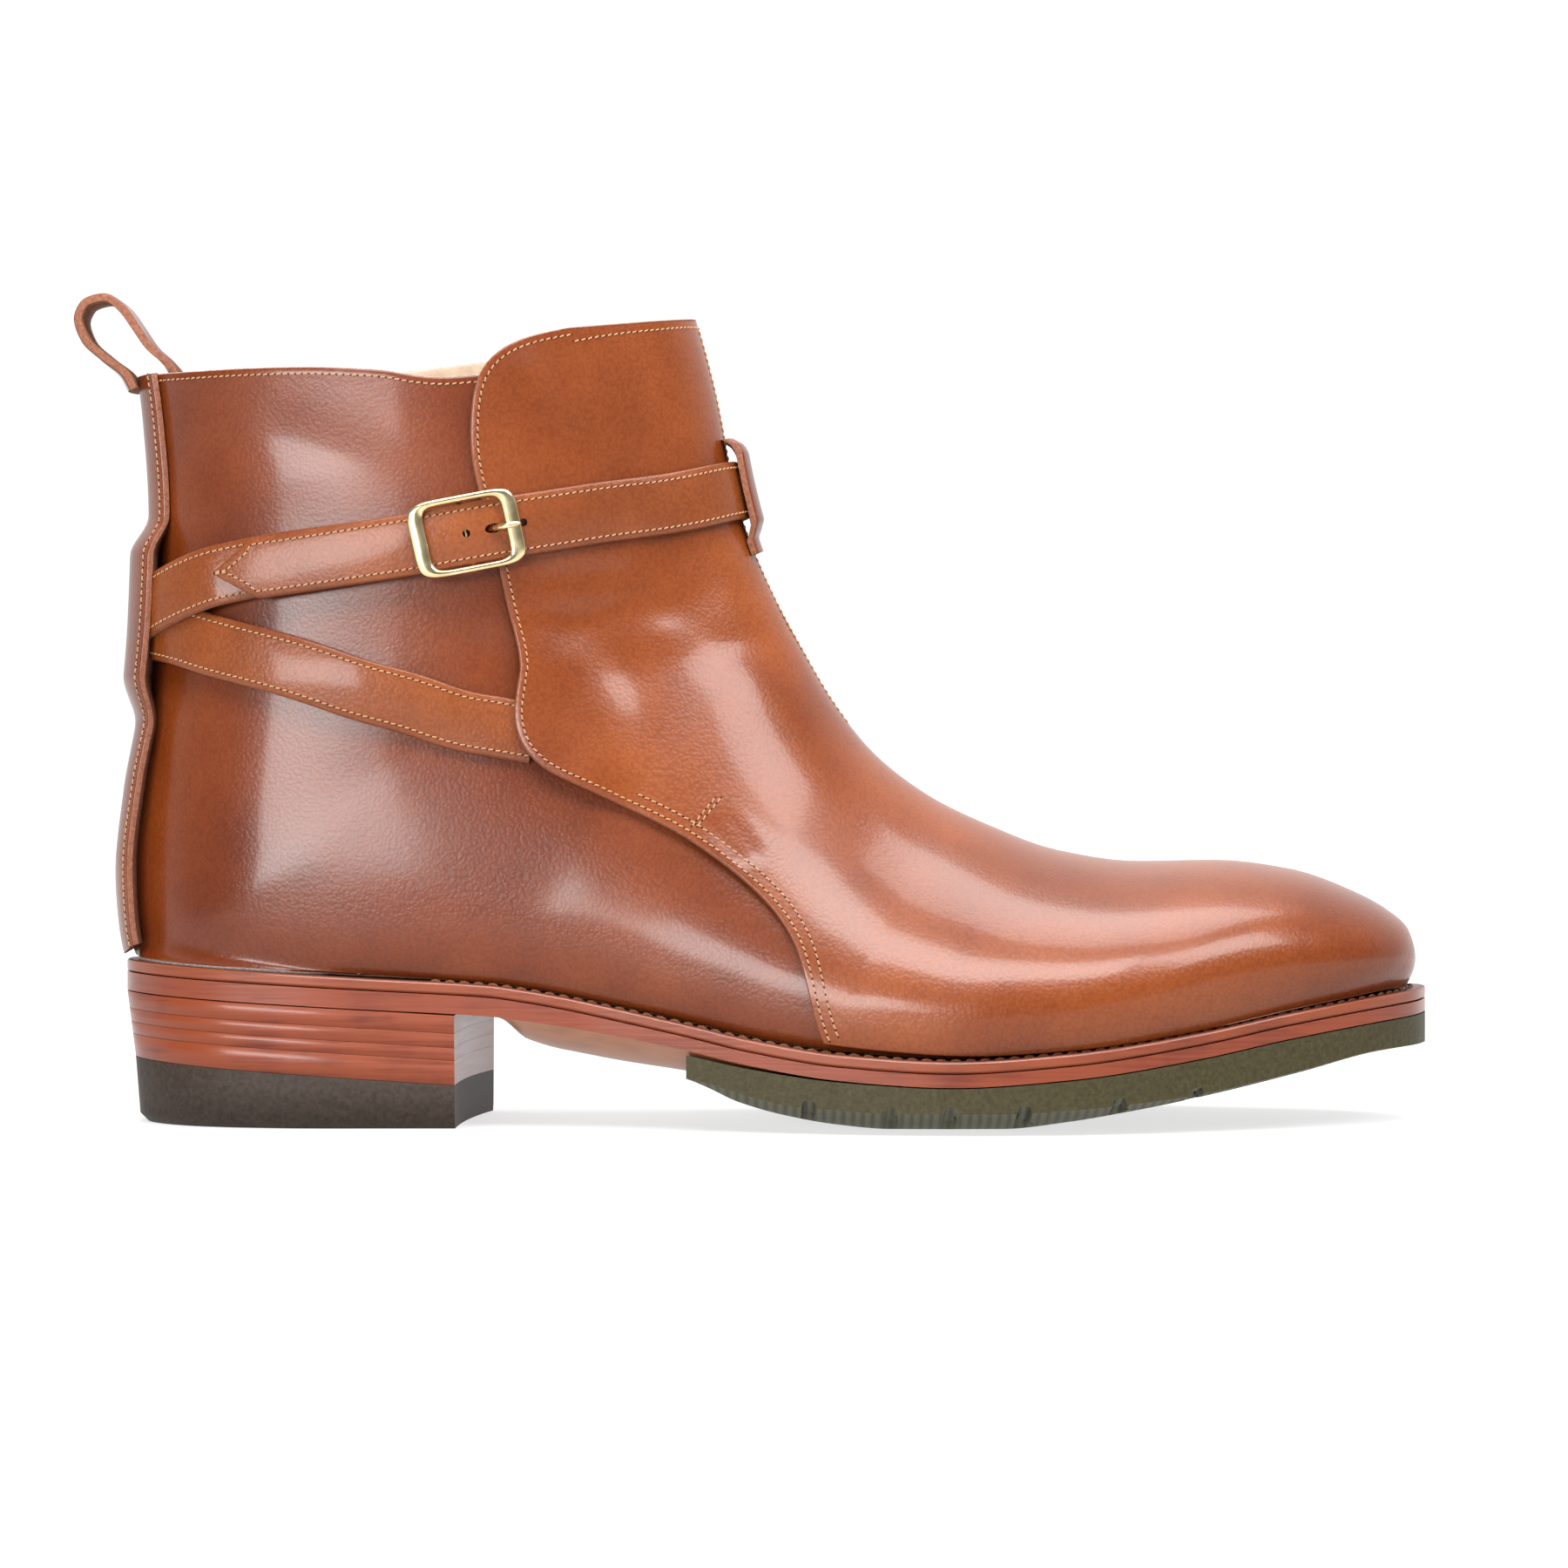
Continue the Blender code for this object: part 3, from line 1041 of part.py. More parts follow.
def build_rubber():
    """The rubber forepart with its cross grooves, flat on the floor under the ball."""
    outer, inner = edges(1.0, 0.0, 24, start=place_along(RUBBER_START))
    top = plate_grid(outer, inner, ACROSS, rubber_top)
    bottom = plate_grid(outer, inner, ACROSS, rubber_bottom)
    bottom[..., 2] = np.minimum(bottom[..., 2], top[..., 2] - RUBBER_LEAST)
    rubber = closed_between("forepart_rubber", top, bottom, ("sole_rubber", SOLE_RUBBER))
    for index, share in enumerate(GROOVES):
        x = place_along(share)
        for side, name in ((-1.0, "outer"), (1.0, "inner")):
            edge = np.interp(x, *edges(1.0, 0.0, 200)[0 if side < 0.0 else 1].T)
            reach = abs(edge) * 0.34
            bpy.ops.mesh.primitive_cube_add(size=1.0)
            tool = bpy.context.object
            tool.name = "groove_%s_%d" % (name, index + 1)
            for owner in tool.users_collection:
                owner.objects.unlink(tool)
            cutters.objects.link(tool)
            low = float(rubber_bottom(x, FLAT_SHARE))
            high = float(rubber_bottom(x, 1.0)) + GROOVE_DEPTH
            tool.scale = (GROOVE_WIDTH, reach * 1.4, high - low + GROOVE_DEPTH)
            tool.location = (x, edge - side * reach * 0.5, (high + low) / 2.0 - GROOVE_DEPTH * 0.5)
            cut_or_join(rubber, tool, "DIFFERENCE")


def build_heel():
    """The stacked lifts and the rubber top piece, which stands flat on the floor."""
    for index, (above, below) in enumerate(zip(LIFT_LINES, LIFT_LINES[1:])):
        def plane(x, share, side_gap):
            return (seat_plane(x) * (1.0 - share) + top_piece_plane(x) * share) + side_gap
        upper = heel_level(lambda x: plane(x, above, 0.0), above * 0.65)
        lower = heel_level(lambda x: plane(x, below, GAP), below * 0.65)
        stack_of_loops("heel_lift_%d" % (index + 1), [lower, upper], ("heel_leather", HEEL_TONE))
    sole = heel_plan(HEEL_TAPER + TOP_PIECE_BEVEL)
    side = heel_plan(HEEL_TAPER)
    top = heel_plan(HEEL_TAPER * 0.65)
    loops = [np.concatenate([sole, np.zeros((len(sole), 1))], axis=-1),
             np.concatenate([side, np.full((len(side), 1), TOP_PIECE_BEVEL)], axis=-1),
             np.concatenate([top, top_piece_plane(top[:, 0])[:, None]], axis=-1)]
    stack_of_loops("heel_top_piece", loops, ("heel_rubber", HEEL_RUBBER))


BUCKLE = buckle_place()
VAMP_ROWS = vamp_rows(12)
build_heel()
build_rubber()
build_outsole()
build_welt()
build_insole()
build_upper()
build_front_panel()
build_back_stay()
build_pull_loop()
build_straps()
build_keeper()
build_buckle()
build_prong()
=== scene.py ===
"""Looks of a jodhpur boot for the right foot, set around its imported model.

Metres, +Z up. The toe points along +X and the outer side of the foot faces -Y.
"""

import math

import bmesh
import bpy
import numpy as np
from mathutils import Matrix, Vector


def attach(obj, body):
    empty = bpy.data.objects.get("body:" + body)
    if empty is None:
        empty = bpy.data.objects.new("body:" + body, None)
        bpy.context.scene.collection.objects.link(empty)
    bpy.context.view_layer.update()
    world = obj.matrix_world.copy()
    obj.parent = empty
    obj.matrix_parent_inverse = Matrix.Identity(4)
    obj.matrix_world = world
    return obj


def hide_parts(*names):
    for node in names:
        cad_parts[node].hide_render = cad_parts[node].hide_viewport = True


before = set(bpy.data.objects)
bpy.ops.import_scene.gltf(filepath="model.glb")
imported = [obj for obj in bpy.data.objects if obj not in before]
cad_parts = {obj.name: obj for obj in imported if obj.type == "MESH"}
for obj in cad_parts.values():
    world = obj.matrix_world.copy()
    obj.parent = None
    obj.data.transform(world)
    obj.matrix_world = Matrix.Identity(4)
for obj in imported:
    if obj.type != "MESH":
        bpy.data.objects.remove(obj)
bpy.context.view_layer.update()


# Studio: the photographed view, a floor that glows whiter away from the boot, a room that is
# white behind it and dim on the camera's side, and large soft lights for the broad gleams.
CAMERA_AT = (0.1119, -1.25, 0.0934)
AIMED_AT = (0.1119, 0.0, 0.0790)
FOCAL_PIXELS = 6088.0
IMAGE_PIXELS = 1800.0
SENSOR_WIDTH = 36.0
FLOOR_SIZE = 12.0
FLOOR_DROP = 0.0001

camera_data = bpy.data.cameras.new("camera")
camera_data.sensor_width = SENSOR_WIDTH
camera_data.lens = SENSOR_WIDTH * FOCAL_PIXELS / IMAGE_PIXELS
camera = bpy.data.objects.new("camera", camera_data)
camera.location = CAMERA_AT
camera.rotation_euler = (Vector(AIMED_AT) - Vector(CAMERA_AT)).to_track_quat("-Z", "Y").to_euler()
bpy.context.scene.collection.objects.link(camera)
bpy.context.scene.camera = camera
bpy.context.scene.view_settings.view_transform = "Standard"

FLOOR_TONES = ((0.32, (0.70, 0.70, 0.70)), (0.90, (1.0, 1.0, 1.0)))
WORLD_TONES = ((0.0, (0.20, 0.20, 0.21)), (0.45, (0.30, 0.30, 0.31)), (0.70, (1.02, 1.02, 1.02)))


def add(tree, kind, sockets=None, **settings):
    """A node with its settings. A socket gets a plain value or another node's output."""
    made = tree.nodes.new(kind)
    for key, value in settings.items():
        setattr(made, key, value)
    for key, value in (sockets or {}).items():
        if isinstance(value, bpy.types.NodeSocket):
            tree.links.new(value, made.inputs[key])
        else:
            made.inputs[key].default_value = value
    return made


def ramp(tree, factor, stops):
    """A colour ramp through (place, colour) stops, read by a factor."""
    made = add(tree, "ShaderNodeValToRGB", {"Fac": factor})
    elements = made.color_ramp.elements
    while len(elements) < len(stops):
        elements.new(0.5)
    for element, (place, colour) in zip(elements, stops):
        element.position = place
        element.color = (*colour, 1.0)
    return made.outputs["Color"]


world = bpy.data.worlds.new("studio")
world.use_nodes = True
sky = world.node_tree
direction = add(sky, "ShaderNodeTexCoord")
parts = add(sky, "ShaderNodeSeparateXYZ", {"Vector": direction.outputs["Generated"]})
behind = add(sky, "ShaderNodeMapRange", {"Value": parts.outputs["Y"], "From Min": -1.0, "From Max": 1.0})
sky.links.new(ramp(sky, behind.outputs[0], WORLD_TONES), sky.nodes["Background"].inputs["Color"])
bpy.context.scene.world = world


def softbox(name, place, aim, width, height, watts):
    """A rectangular area light at a place, turned towards its aim."""
    data = bpy.data.lights.new(name, "AREA")
    data.shape = "RECTANGLE"
    data.size = width
    data.size_y = height
    data.energy = watts
    lamp = bpy.data.objects.new(name, data)
    lamp.location = place
    lamp.rotation_euler = (Vector(aim) - Vector(place)).to_track_quat("-Z", "Y").to_euler()
    bpy.context.scene.collection.objects.link(lamp)


softbox("key_box", (0.06, -0.75, 1.10), (0.08, 0.0, 0.08), 0.95, 0.45, 21.0)
softbox("top_box", (0.20, 0.20, 1.30), (0.12, 0.0, 0.05), 1.10, 0.70, 19.0)
softbox("front_box", (-0.52, -1.15, 0.29), (0.0, 0.0, 0.09), 0.80, 0.26, 13.0)
softbox("toe_box", (0.85, -0.60, 0.95), (0.20, 0.0, 0.06), 0.60, 0.50, 12.0)


def blank_material(name, shader_values):
    """A material with one Principled shader, its constant sockets set by name."""
    made = bpy.data.materials.new(name)
    made.use_nodes = True
    shader = made.node_tree.nodes["Principled BSDF"]
    for key, value in shader_values.items():
        shader.inputs[key].default_value = value
    return made, made.node_tree, shader


floor_material, floor_tree, floor_shader = blank_material(
    "pale_floor", {"Base Color": (0.20, 0.20, 0.20, 1.0), "Roughness": 0.7,
                   "Specular IOR Level": 0.1, "Emission Strength": 1.0})
floor_place = add(floor_tree, "ShaderNodeTexCoord")
floor_distance = add(floor_tree, "ShaderNodeVectorMath", {0: floor_place.outputs["Object"]},
                     operation="LENGTH")
floor_glow = ramp(floor_tree, floor_distance.outputs["Value"], FLOOR_TONES)
floor_tree.links.new(floor_glow, floor_shader.inputs["Emission Color"])
half_floor = FLOOR_SIZE / 2.0
floor_mesh = bpy.data.meshes.new("floor")
floor_mesh.from_pydata([(x * half_floor, y * half_floor, -FLOOR_DROP)
                        for x, y in ((-1, -1), (1, -1), (1, 1), (-1, 1))], [], [(0, 1, 2, 3)])
floor_mesh.materials.append(floor_material)
floor = bpy.data.objects.new("floor", floor_mesh)
bpy.context.scene.collection.objects.link(floor)


# Upper: two quarters and the base of the front, lasted in one hollow of polished tan calf
# with a light leather lining. Its outer face is a function of two numbers, the row from
# the toe to the collar and the turn from the outer foot line over the ridge to the inner.
LAST_LENGTH = 0.302
HEEL_OVERHANG = 0.0437
BALL_WIDTH = 0.100
UPPER_HEIGHT = 0.188
SEAT_HEIGHT = 0.0360
GAP = 0.0003
SEAT_GAP = 0.0005
LINED_WALL = 0.0022
HEEL_ROW = 19.0
COLLAR_ROW = 27.0
FADE_ROW = 21.0
FOOT_TURN = 0.80
TOE_TURN = 0.60
TOE_ROW = 0.45
SEAM_FOOT_ROW = 9.65
ARCH_ROW = 14.0
ANKLE_ROW = 13
UPPER_EDGE = 0.0005
HEEL_SMOOTHING = 260
HEEL_AREA_ROWS = (13.0, 25.0)
HEEL_AREA_TURN = 0.40
SEARCH_STEPS = 2801
SEARCH_SLACK = 0.02

# One row for each section, from the toe tip to above the collar. ridge_x, ridge_z, end_x:
# shares of the last's length and the upper's height. rise: how far the end lies above the
# feather line. mid, outer, inner, foot_outer, foot_inner: shares of BALL_WIDTH. deep: how
# far down the widest place lies. crest, tuck: exponents of the two arcs.
SECTION_COLUMNS = ("ridge_x", "ridge_z", "end_x", "rise", "mid", "outer", "inner",
                   "foot_outer", "foot_inner", "deep", "crest", "tuck")
SECTIONS = (
    (0.9970, 0.1787, 0.9950, 0.000, 0.060, -0.052, 0.068, -0.052, 0.068, 0.60, 2.00, 2.00),
    (1.0013, 0.2037, 0.9851, 0.000, 0.060, 0.072, 0.178, 0.056, 0.162, 0.60, 2.10, 2.10),
    (0.9967, 0.2319, 0.9675, 0.000, 0.060, 0.150, 0.242, 0.130, 0.220, 0.64, 2.10, 2.10),
    (0.9818, 0.2532, 0.9394, 0.000, 0.060, 0.230, 0.298, 0.204, 0.270, 0.68, 2.10, 2.20),
    (0.9543, 0.2766, 0.8980, 0.000, 0.060, 0.310, 0.352, 0.279, 0.320, 0.72, 2.10, 2.20),
    (0.9096, 0.3011, 0.8401, 0.000, 0.062, 0.396, 0.412, 0.361, 0.376, 0.75, 2.10, 2.30),
    (0.8533, 0.3117, 0.7772, 0.000, 0.064, 0.468, 0.462, 0.430, 0.422, 0.77, 2.00, 2.30),
    (0.7921, 0.3101, 0.7142, 0.000, 0.066, 0.506, 0.480, 0.466, 0.436, 0.78, 1.95, 2.30),
    (0.7295, 0.3239, 0.6513, 0.000, 0.066, 0.514, 0.464, 0.474, 0.418, 0.78, 1.85, 2.30),
    (0.6738, 0.3559, 0.5868, 0.000, 0.062, 0.494, 0.430, 0.454, 0.378, 0.78, 1.78, 2.30),
    (0.6242, 0.3952, 0.5189, 0.000, 0.054, 0.456, 0.394, 0.410, 0.326, 0.77, 1.76, 2.30),
    (0.5805, 0.4489, 0.4460, 0.000, 0.044, 0.416, 0.368, 0.356, 0.280, 0.76, 1.80, 2.30),
    (0.5467, 0.5170, 0.3599, 0.000, 0.034, 0.382, 0.354, 0.314, 0.272, 0.75, 1.86, 2.30),
    (0.5202, 0.5899, 0.2639, 0.000, 0.024, 0.362, 0.350, 0.312, 0.298, 0.74, 1.92, 2.30),
    (0.5063, 0.6309, 0.1613, 0.000, 0.018, 0.354, 0.350, 0.318, 0.316, 0.72, 1.95, 2.30),
    (0.4967, 0.6622, 0.1017, 0.000, 0.014, 0.349, 0.348, 0.294, 0.294, 0.70, 1.97, 2.30),
    (0.4897, 0.6872, 0.0603, 0.000, 0.010, 0.346, 0.346, 0.244, 0.244, 0.68, 1.98, 2.25),
    (0.4844, 0.7074, 0.0315, 0.000, 0.007, 0.344, 0.344, 0.166, 0.166, 0.66, 1.98, 2.20),
    (0.4801, 0.7250, 0.0146, 0.000, 0.005, 0.342, 0.342, 0.078, 0.078, 0.64, 1.98, 2.15),
    (0.4765, 0.7415, 0.0093, 0.000, 0.003, 0.340, 0.340, 0.000, 0.000, 0.63, 1.98, 2.10),
    (0.4732, 0.7585, 0.0033, 0.041, 0.002, 0.339, 0.339, 0.000, 0.000, 0.61, 1.98, 2.05),
    (0.4692, 0.7840, 0.0007, 0.107, 0.000, 0.338, 0.338, 0.000, 0.000, 0.59, 1.98, 2.00),
    (0.4656, 0.8106, 0.0070, 0.206, 0.000, 0.336, 0.336, 0.000, 0.000, 0.57, 1.97, 1.95),
    (0.4623, 0.8383, 0.0182, 0.310, 0.000, 0.334, 0.334, 0.000, 0.000, 0.55, 1.96, 1.90),
    (0.4589, 0.8697, 0.0242, 0.427, 0.000, 0.333, 0.333, 0.000, 0.000, 0.53, 1.95, 1.86),
    (0.4540, 0.9069, 0.0265, 0.554, 0.000, 0.334, 0.334, 0.000, 0.000, 0.52, 1.95, 1.84),
    (0.4470, 0.9521, 0.0222, 0.669, 0.000, 0.338, 0.338, 0.000, 0.000, 0.51, 1.95, 1.84),
    (0.4387, 0.9989, 0.0159, 0.749, 0.000, 0.344, 0.344, 0.000, 0.000, 0.50, 1.95, 1.84),
    (0.4308, 1.0452, 0.0103, 0.812, 0.000, 0.352, 0.352, 0.000, 0.000, 0.50, 1.95, 1.84),
)

# The bottom along its length: height of the welt's top, a share of SEAT_HEIGHT, the welt's
# reach to both sides, and how far the sole's underside is rounded.
BOTTOM_COLUMNS = ("along", "welt", "outer", "inner", "bulge")
BOTTOM = (
    (-0.120, 1.1185, 0.36, 0.36, 0.00),
    (0.010, 1.0569, 0.36, 0.36, 0.00),
    (0.198, 0.9678, 0.44, 0.42, 0.00),
    (0.2905, 0.9240, 0.48, 0.44, 0.00),
    (0.317, 0.893, 0.50, 0.44, 0.80),
    (0.345, 0.853, 0.54, 0.44, 0.97),
    (0.383, 0.786, 0.58, 0.44, 1.00),
    (0.439, 0.686, 0.68, 0.50, 0.92),
    (0.489, 0.592, 0.80, 0.62, 0.56),
    (0.557, 0.506, 0.92, 0.82, 0.10),
    (0.641, 0.469, 1.00, 0.96, 0.00),
    (0.731, 0.517, 1.00, 1.00, 0.00),
    (0.830, 0.636, 1.00, 1.00, 0.00),
    (0.900, 0.747, 1.03, 1.03, 0.00),
    (0.972, 0.836, 1.08, 1.08, 0.00),
    (1.025, 0.881, 1.10, 1.10, 0.00),
)

# The collar's edge as seen from each side: shares of the last's length and upper's height.
COLLAR_OUTER = (
    (0.019, 0.930), (0.078, 0.931), (0.145, 0.932), (0.204, 0.928), (0.264, 0.919),
    (0.290, 0.923), (0.317, 0.949), (0.350, 0.971), (0.396, 0.985), (0.439, 0.995),
)
COLLAR_INNER = (
    (0.019, 0.930), (0.078, 0.932), (0.145, 0.938), (0.204, 0.946), (0.264, 0.957),
    (0.317, 0.969), (0.363, 0.980), (0.396, 0.986), (0.439, 0.995),
)


def smooth_curve(knots, values, at):
    """Cubic through the values that never overshoots: each inner slope is the harmonic
    mean of the two secants beside it, or 0 where they differ in sign."""
    knots = np.asarray(knots, dtype=float)
    values = np.asarray(values, dtype=float)
    at = np.clip(at, knots[0], knots[-1])
    secants = np.diff(values) / np.diff(knots)
    before, after = secants[:-1], secants[1:]
    same_sign = before * after > 0.0
    total = np.where(same_sign, before + after, 1.0)
    inner = np.where(same_sign, 2.0 * before * after / total, 0.0)
    slopes = np.concatenate([secants[:1], inner, secants[-1:]])
    index = np.clip(np.searchsorted(knots, at, side="right") - 1, 0, len(knots) - 2)
    step = knots[index + 1] - knots[index]
    share = (at - knots[index]) / step
    rest = 1.0 - share
    return (values[index] * (1.0 + 2.0 * share) * rest * rest
            + values[index + 1] * share * share * (3.0 - 2.0 * share)
            + step * slopes[index] * share * rest * rest
            - step * slopes[index + 1] * share * share * rest)


def row_value(column, row):
    """A column of SECTIONS, read between its rows by the cubic."""
    values = [section[SECTION_COLUMNS.index(column)] for section in SECTIONS]
    return smooth_curve(np.arange(len(values)), values, row)


def bottom_value(column, x):
    """A column of BOTTOM, read by the cubic at distances along the boot."""
    along = [place[0] for place in BOTTOM]
    values = [place[BOTTOM_COLUMNS.index(column)] for place in BOTTOM]
    return smooth_curve(along, values, share_along(x))


def share_along(x):
    """Share of the last's length: (x + overhang) / length."""
    return (np.asarray(x) + HEEL_OVERHANG) / LAST_LENGTH


def place_along(share):
    """Distance along the boot: share * length - overhang."""
    return share * LAST_LENGTH - HEEL_OVERHANG


def welt_top(x):
    """Height of the welt's upper face, as a share of the seat's height."""
    return SEAT_HEIGHT * bottom_value("welt", x)


def section_line(row):
    """Side view of a section: x and z on the ridge, then x and z at its end."""
    ridge_x = place_along(row_value("ridge_x", row))
    ridge_z = row_value("ridge_z", row) * UPPER_HEIGHT
    end_x = place_along(row_value("end_x", row))
    end_z = welt_top(end_x) + SEAT_GAP + row_value("rise", row) * UPPER_HEIGHT
    return ridge_x, ridge_z, end_x, end_z


def within_one(turn):
    """The same place's turn between -1 and 1."""
    return np.mod(turn + 1.0, 2.0) - 1.0 + 2.0 * (turn == 1.0)


def skin(row, turn):
    """Outer face of the upper: on each side two superellipse arcs, x^n + y^n = 1, the
    first from the ridge to the widest place and the second from there to the foot line.
    Above the heel both ends meet on the back line, so turn repeats every 2."""
    row, turn = np.broadcast_arrays(np.asarray(row, dtype=float), np.asarray(turn, dtype=float))
    turn = within_one(turn)
    side = np.where(turn < 0.0, -1.0, 1.0)
    reach = np.abs(turn)
    ridge_x, ridge_z, end_x, end_z = section_line(row)
    middle = row_value("mid", row) * BALL_WIDTH
    wide = np.where(side < 0.0, row_value("outer", row), row_value("inner", row)) * BALL_WIDTH
    foot = np.where(side < 0.0, row_value("foot_outer", row),
                    row_value("foot_inner", row)) * BALL_WIDTH
    deep = row_value("deep", row)
    first = np.clip(reach * 2.0, 0.0, 1.0) * math.pi / 2.0
    second = np.clip(reach * 2.0 - 1.0, 0.0, 1.0) * math.pi / 2.0
    crest = 2.0 / row_value("crest", row)
    tuck = 2.0 / row_value("tuck", row)
    upper_down = deep * (1.0 - np.maximum(np.cos(first), 0.0) ** crest)
    upper_out = side * middle + (wide - side * middle) * np.sin(first) ** crest
    lower_down = deep + (1.0 - deep) * np.sin(second) ** tuck
    lower_out = foot + (wide - foot) * np.maximum(np.cos(second), 0.0) ** tuck
    down = np.where(reach <= 0.5, upper_down, lower_down)
    out = np.where(reach <= 0.5, upper_out, lower_out)
    return np.stack([ridge_x + (end_x - ridge_x) * down, side * out,
                     ridge_z + (end_z - ridge_z) * down], axis=-1)


def faded(distance, width):
    """0 below nought, 1 beyond the width, and straight between them."""
    return np.clip(distance / width, 0.0, 1.0)


def unit(vectors):
    """Each vector divided by its length."""
    length = np.linalg.norm(vectors, axis=-1, keepdims=True)
    return vectors / np.maximum(length, 1e-12)


def skin_normal(row, turn):
    """Outward direction: cross product of small steps along the rows and the turns."""
    row, turn = np.broadcast_arrays(np.asarray(row, dtype=float), np.asarray(turn, dtype=float))
    turn = within_one(turn)
    small = 0.006
    top = len(SECTIONS) - 1.0
    low_row, high_row = np.clip(row - small, 0.0, top), np.clip(row + small, 0.0, top)
    on_foot = row < HEEL_ROW
    low_turn = np.where(on_foot, np.clip(turn - small, -1.0, 1.0), turn - small)
    high_turn = np.where(on_foot, np.clip(turn + small, -1.0, 1.0), turn + small)
    return unit(np.cross(skin(low_row, turn) - skin(high_row, turn),
                         skin(row, high_turn) - skin(row, low_turn)))


# The leather's soft troughs, from the photographed side, then a few on the inner side:
# side, both ends of the trough as x and z, how wide and how deep it is.
CREASES = (
    (-1, 0.053, 0.174, 0.060, 0.158, 0.0050, 0.00040),
    (-1, 0.060, 0.117, 0.090, 0.121, 0.0050, 0.00045),
    (-1, 0.064, 0.102, 0.106, 0.112, 0.0060, 0.00040),
    (-1, 0.084, 0.119, 0.110, 0.105, 0.0040, 0.00030),
    (-1, 0.058, 0.127, 0.074, 0.128, 0.0030, 0.00030),
    (-1, 0.0950, 0.0690, 0.1020, 0.0615, 0.0016, 0.00035),
    (-1, 0.0985, 0.0705, 0.1055, 0.0625, 0.0014, 0.00025),
    (-1, -0.007, 0.093, 0.036, 0.087, 0.0060, 0.00045),
    (-1, 0.008, 0.060, 0.056, 0.058, 0.0080, 0.00035),
    (-1, -0.029, 0.080, -0.019, 0.052, 0.0050, 0.00030),
    (-1, -0.002, 0.160, 0.026, 0.147, 0.0060, 0.00035),
    (-1, 0.032, 0.121, 0.044, 0.108, 0.0040, 0.00035),
    (-1, 0.142, 0.066, 0.150, 0.040, 0.0070, 0.00025),
    (1, 0.058, 0.116, 0.092, 0.120, 0.0055, 0.00045),
    (1, 0.062, 0.100, 0.104, 0.108, 0.0060, 0.00040),
    (1, -0.010, 0.094, 0.034, 0.086, 0.0065, 0.00045),
    (1, 0.004, 0.064, 0.052, 0.058, 0.0080, 0.00035),
    (1, 0.040, 0.170, 0.052, 0.150, 0.0055, 0.00035),
    (1, 0.144, 0.064, 0.152, 0.038, 0.0070, 0.00025),
)


def crease_depth(points):
    """Sum over the troughs of depth * exp(-(distance to its line / width)^2)."""
    total = np.zeros(points.shape[:-1])
    for side, x0, z0, x1, z1, width, depth in CREASES:
        run_x, run_z = x1 - x0, z1 - z0
        from_x, from_z = points[..., 0] - x0, points[..., 2] - z0
        share = np.clip((from_x * run_x + from_z * run_z) / (run_x ** 2 + run_z ** 2), 0.0, 1.0)
        gap = np.hypot(from_x - share * run_x, from_z - share * run_z)
        near = depth * np.exp(-(gap / width) ** 2)
        total += np.where(points[..., 1] * side > 0.0, near, 0.0)
    return total


def lifted(row, turn, lift):
    """Outer face moved along its normal by the lift, less the depth of the creases."""
    points = skin(row, turn)
    height = np.asarray(lift) - crease_depth(points)
    return points + skin_normal(row, turn) * height[..., None]


def find_on_skin(side, x, z):
    """Row and turn of the point at x and z in the side view: the row whose side line
    passes through it, then the arc formula solved for the turn."""
    rows = np.linspace(0.0, len(SECTIONS) - 1.0, SEARCH_STEPS)
    ridge_x, ridge_z, end_x, end_z = section_line(rows)
    offset = (end_x - ridge_x) * (z - ridge_z) - (end_z - ridge_z) * (x - ridge_x)
    change = np.nonzero(offset[:-1] * offset[1:] <= 0.0)[0]
    best = change[0]
    for place in change:
        run = (end_x[place] - ridge_x[place], end_z[place] - ridge_z[place])
        from_ridge = (x - ridge_x[place]) * run[0] + (z - ridge_z[place]) * run[1]
        if -SEARCH_SLACK <= from_ridge / (run[0] ** 2 + run[1] ** 2) <= 1.0 + SEARCH_SLACK:
            best = place
    share = offset[best] / (offset[best] - offset[best + 1])
    row = rows[best] + share * (rows[best + 1] - rows[best])
    ridge_x, ridge_z, end_x, end_z = section_line(row)
    run = (end_x - ridge_x, end_z - ridge_z)
    down = ((x - ridge_x) * run[0] + (z - ridge_z) * run[1]) / (run[0] ** 2 + run[1] ** 2)
    down = min(max(float(down), 0.0), 1.0)
    deep = float(row_value("deep", row))
    if down <= deep:
        arc = math.acos(max(1.0 - down / deep, 0.0) ** (float(row_value("crest", row)) / 2.0))
        return float(row), side * arc / math.pi
    arc = math.asin(((down - deep) / (1.0 - deep)) ** (float(row_value("tuck", row)) / 2.0))
    return float(row), side * (0.5 + arc / math.pi)


def side_line(side, outline):
    """Rows and turns of an outline given by its shares in the side view."""
    return np.array([find_on_skin(side, place_along(x), z * UPPER_HEIGHT) for x, z in outline])


def lengths_along(spots):
    """Distance of each point from the first, along their polyline."""
    return np.concatenate([[0.0], np.cumsum(np.linalg.norm(np.diff(spots, axis=0), axis=1))])


def read_at(at, knots, table):
    """The columns of a table read at places between its knots, straight between rows."""
    return np.stack([np.interp(at, knots, column) for column in np.transpose(table)], axis=-1)


def even_steps(spots, values, count):
    """Values read at equal distances along the polyline of their spots."""
    lengths = lengths_along(spots)
    at = np.linspace(0.0, lengths[-1], count)
    return np.stack([smooth_curve(lengths, column, at) for column in values.T], axis=-1)


def along_skin(places, count):
    """Rows, turns and other values at equal steps over the upper."""
    return even_steps(skin(places[:, 0], places[:, 1]), places, count)


def grid_faces(rows, columns):
    """Corners of the quads of a grid whose points are stored row by row."""
    corner = (np.arange(rows - 1)[:, None] * columns + np.arange(columns - 1)[None, :]).ravel()
    return np.stack([corner, corner + columns, corner + columns + 1, corner + 1], axis=-1)


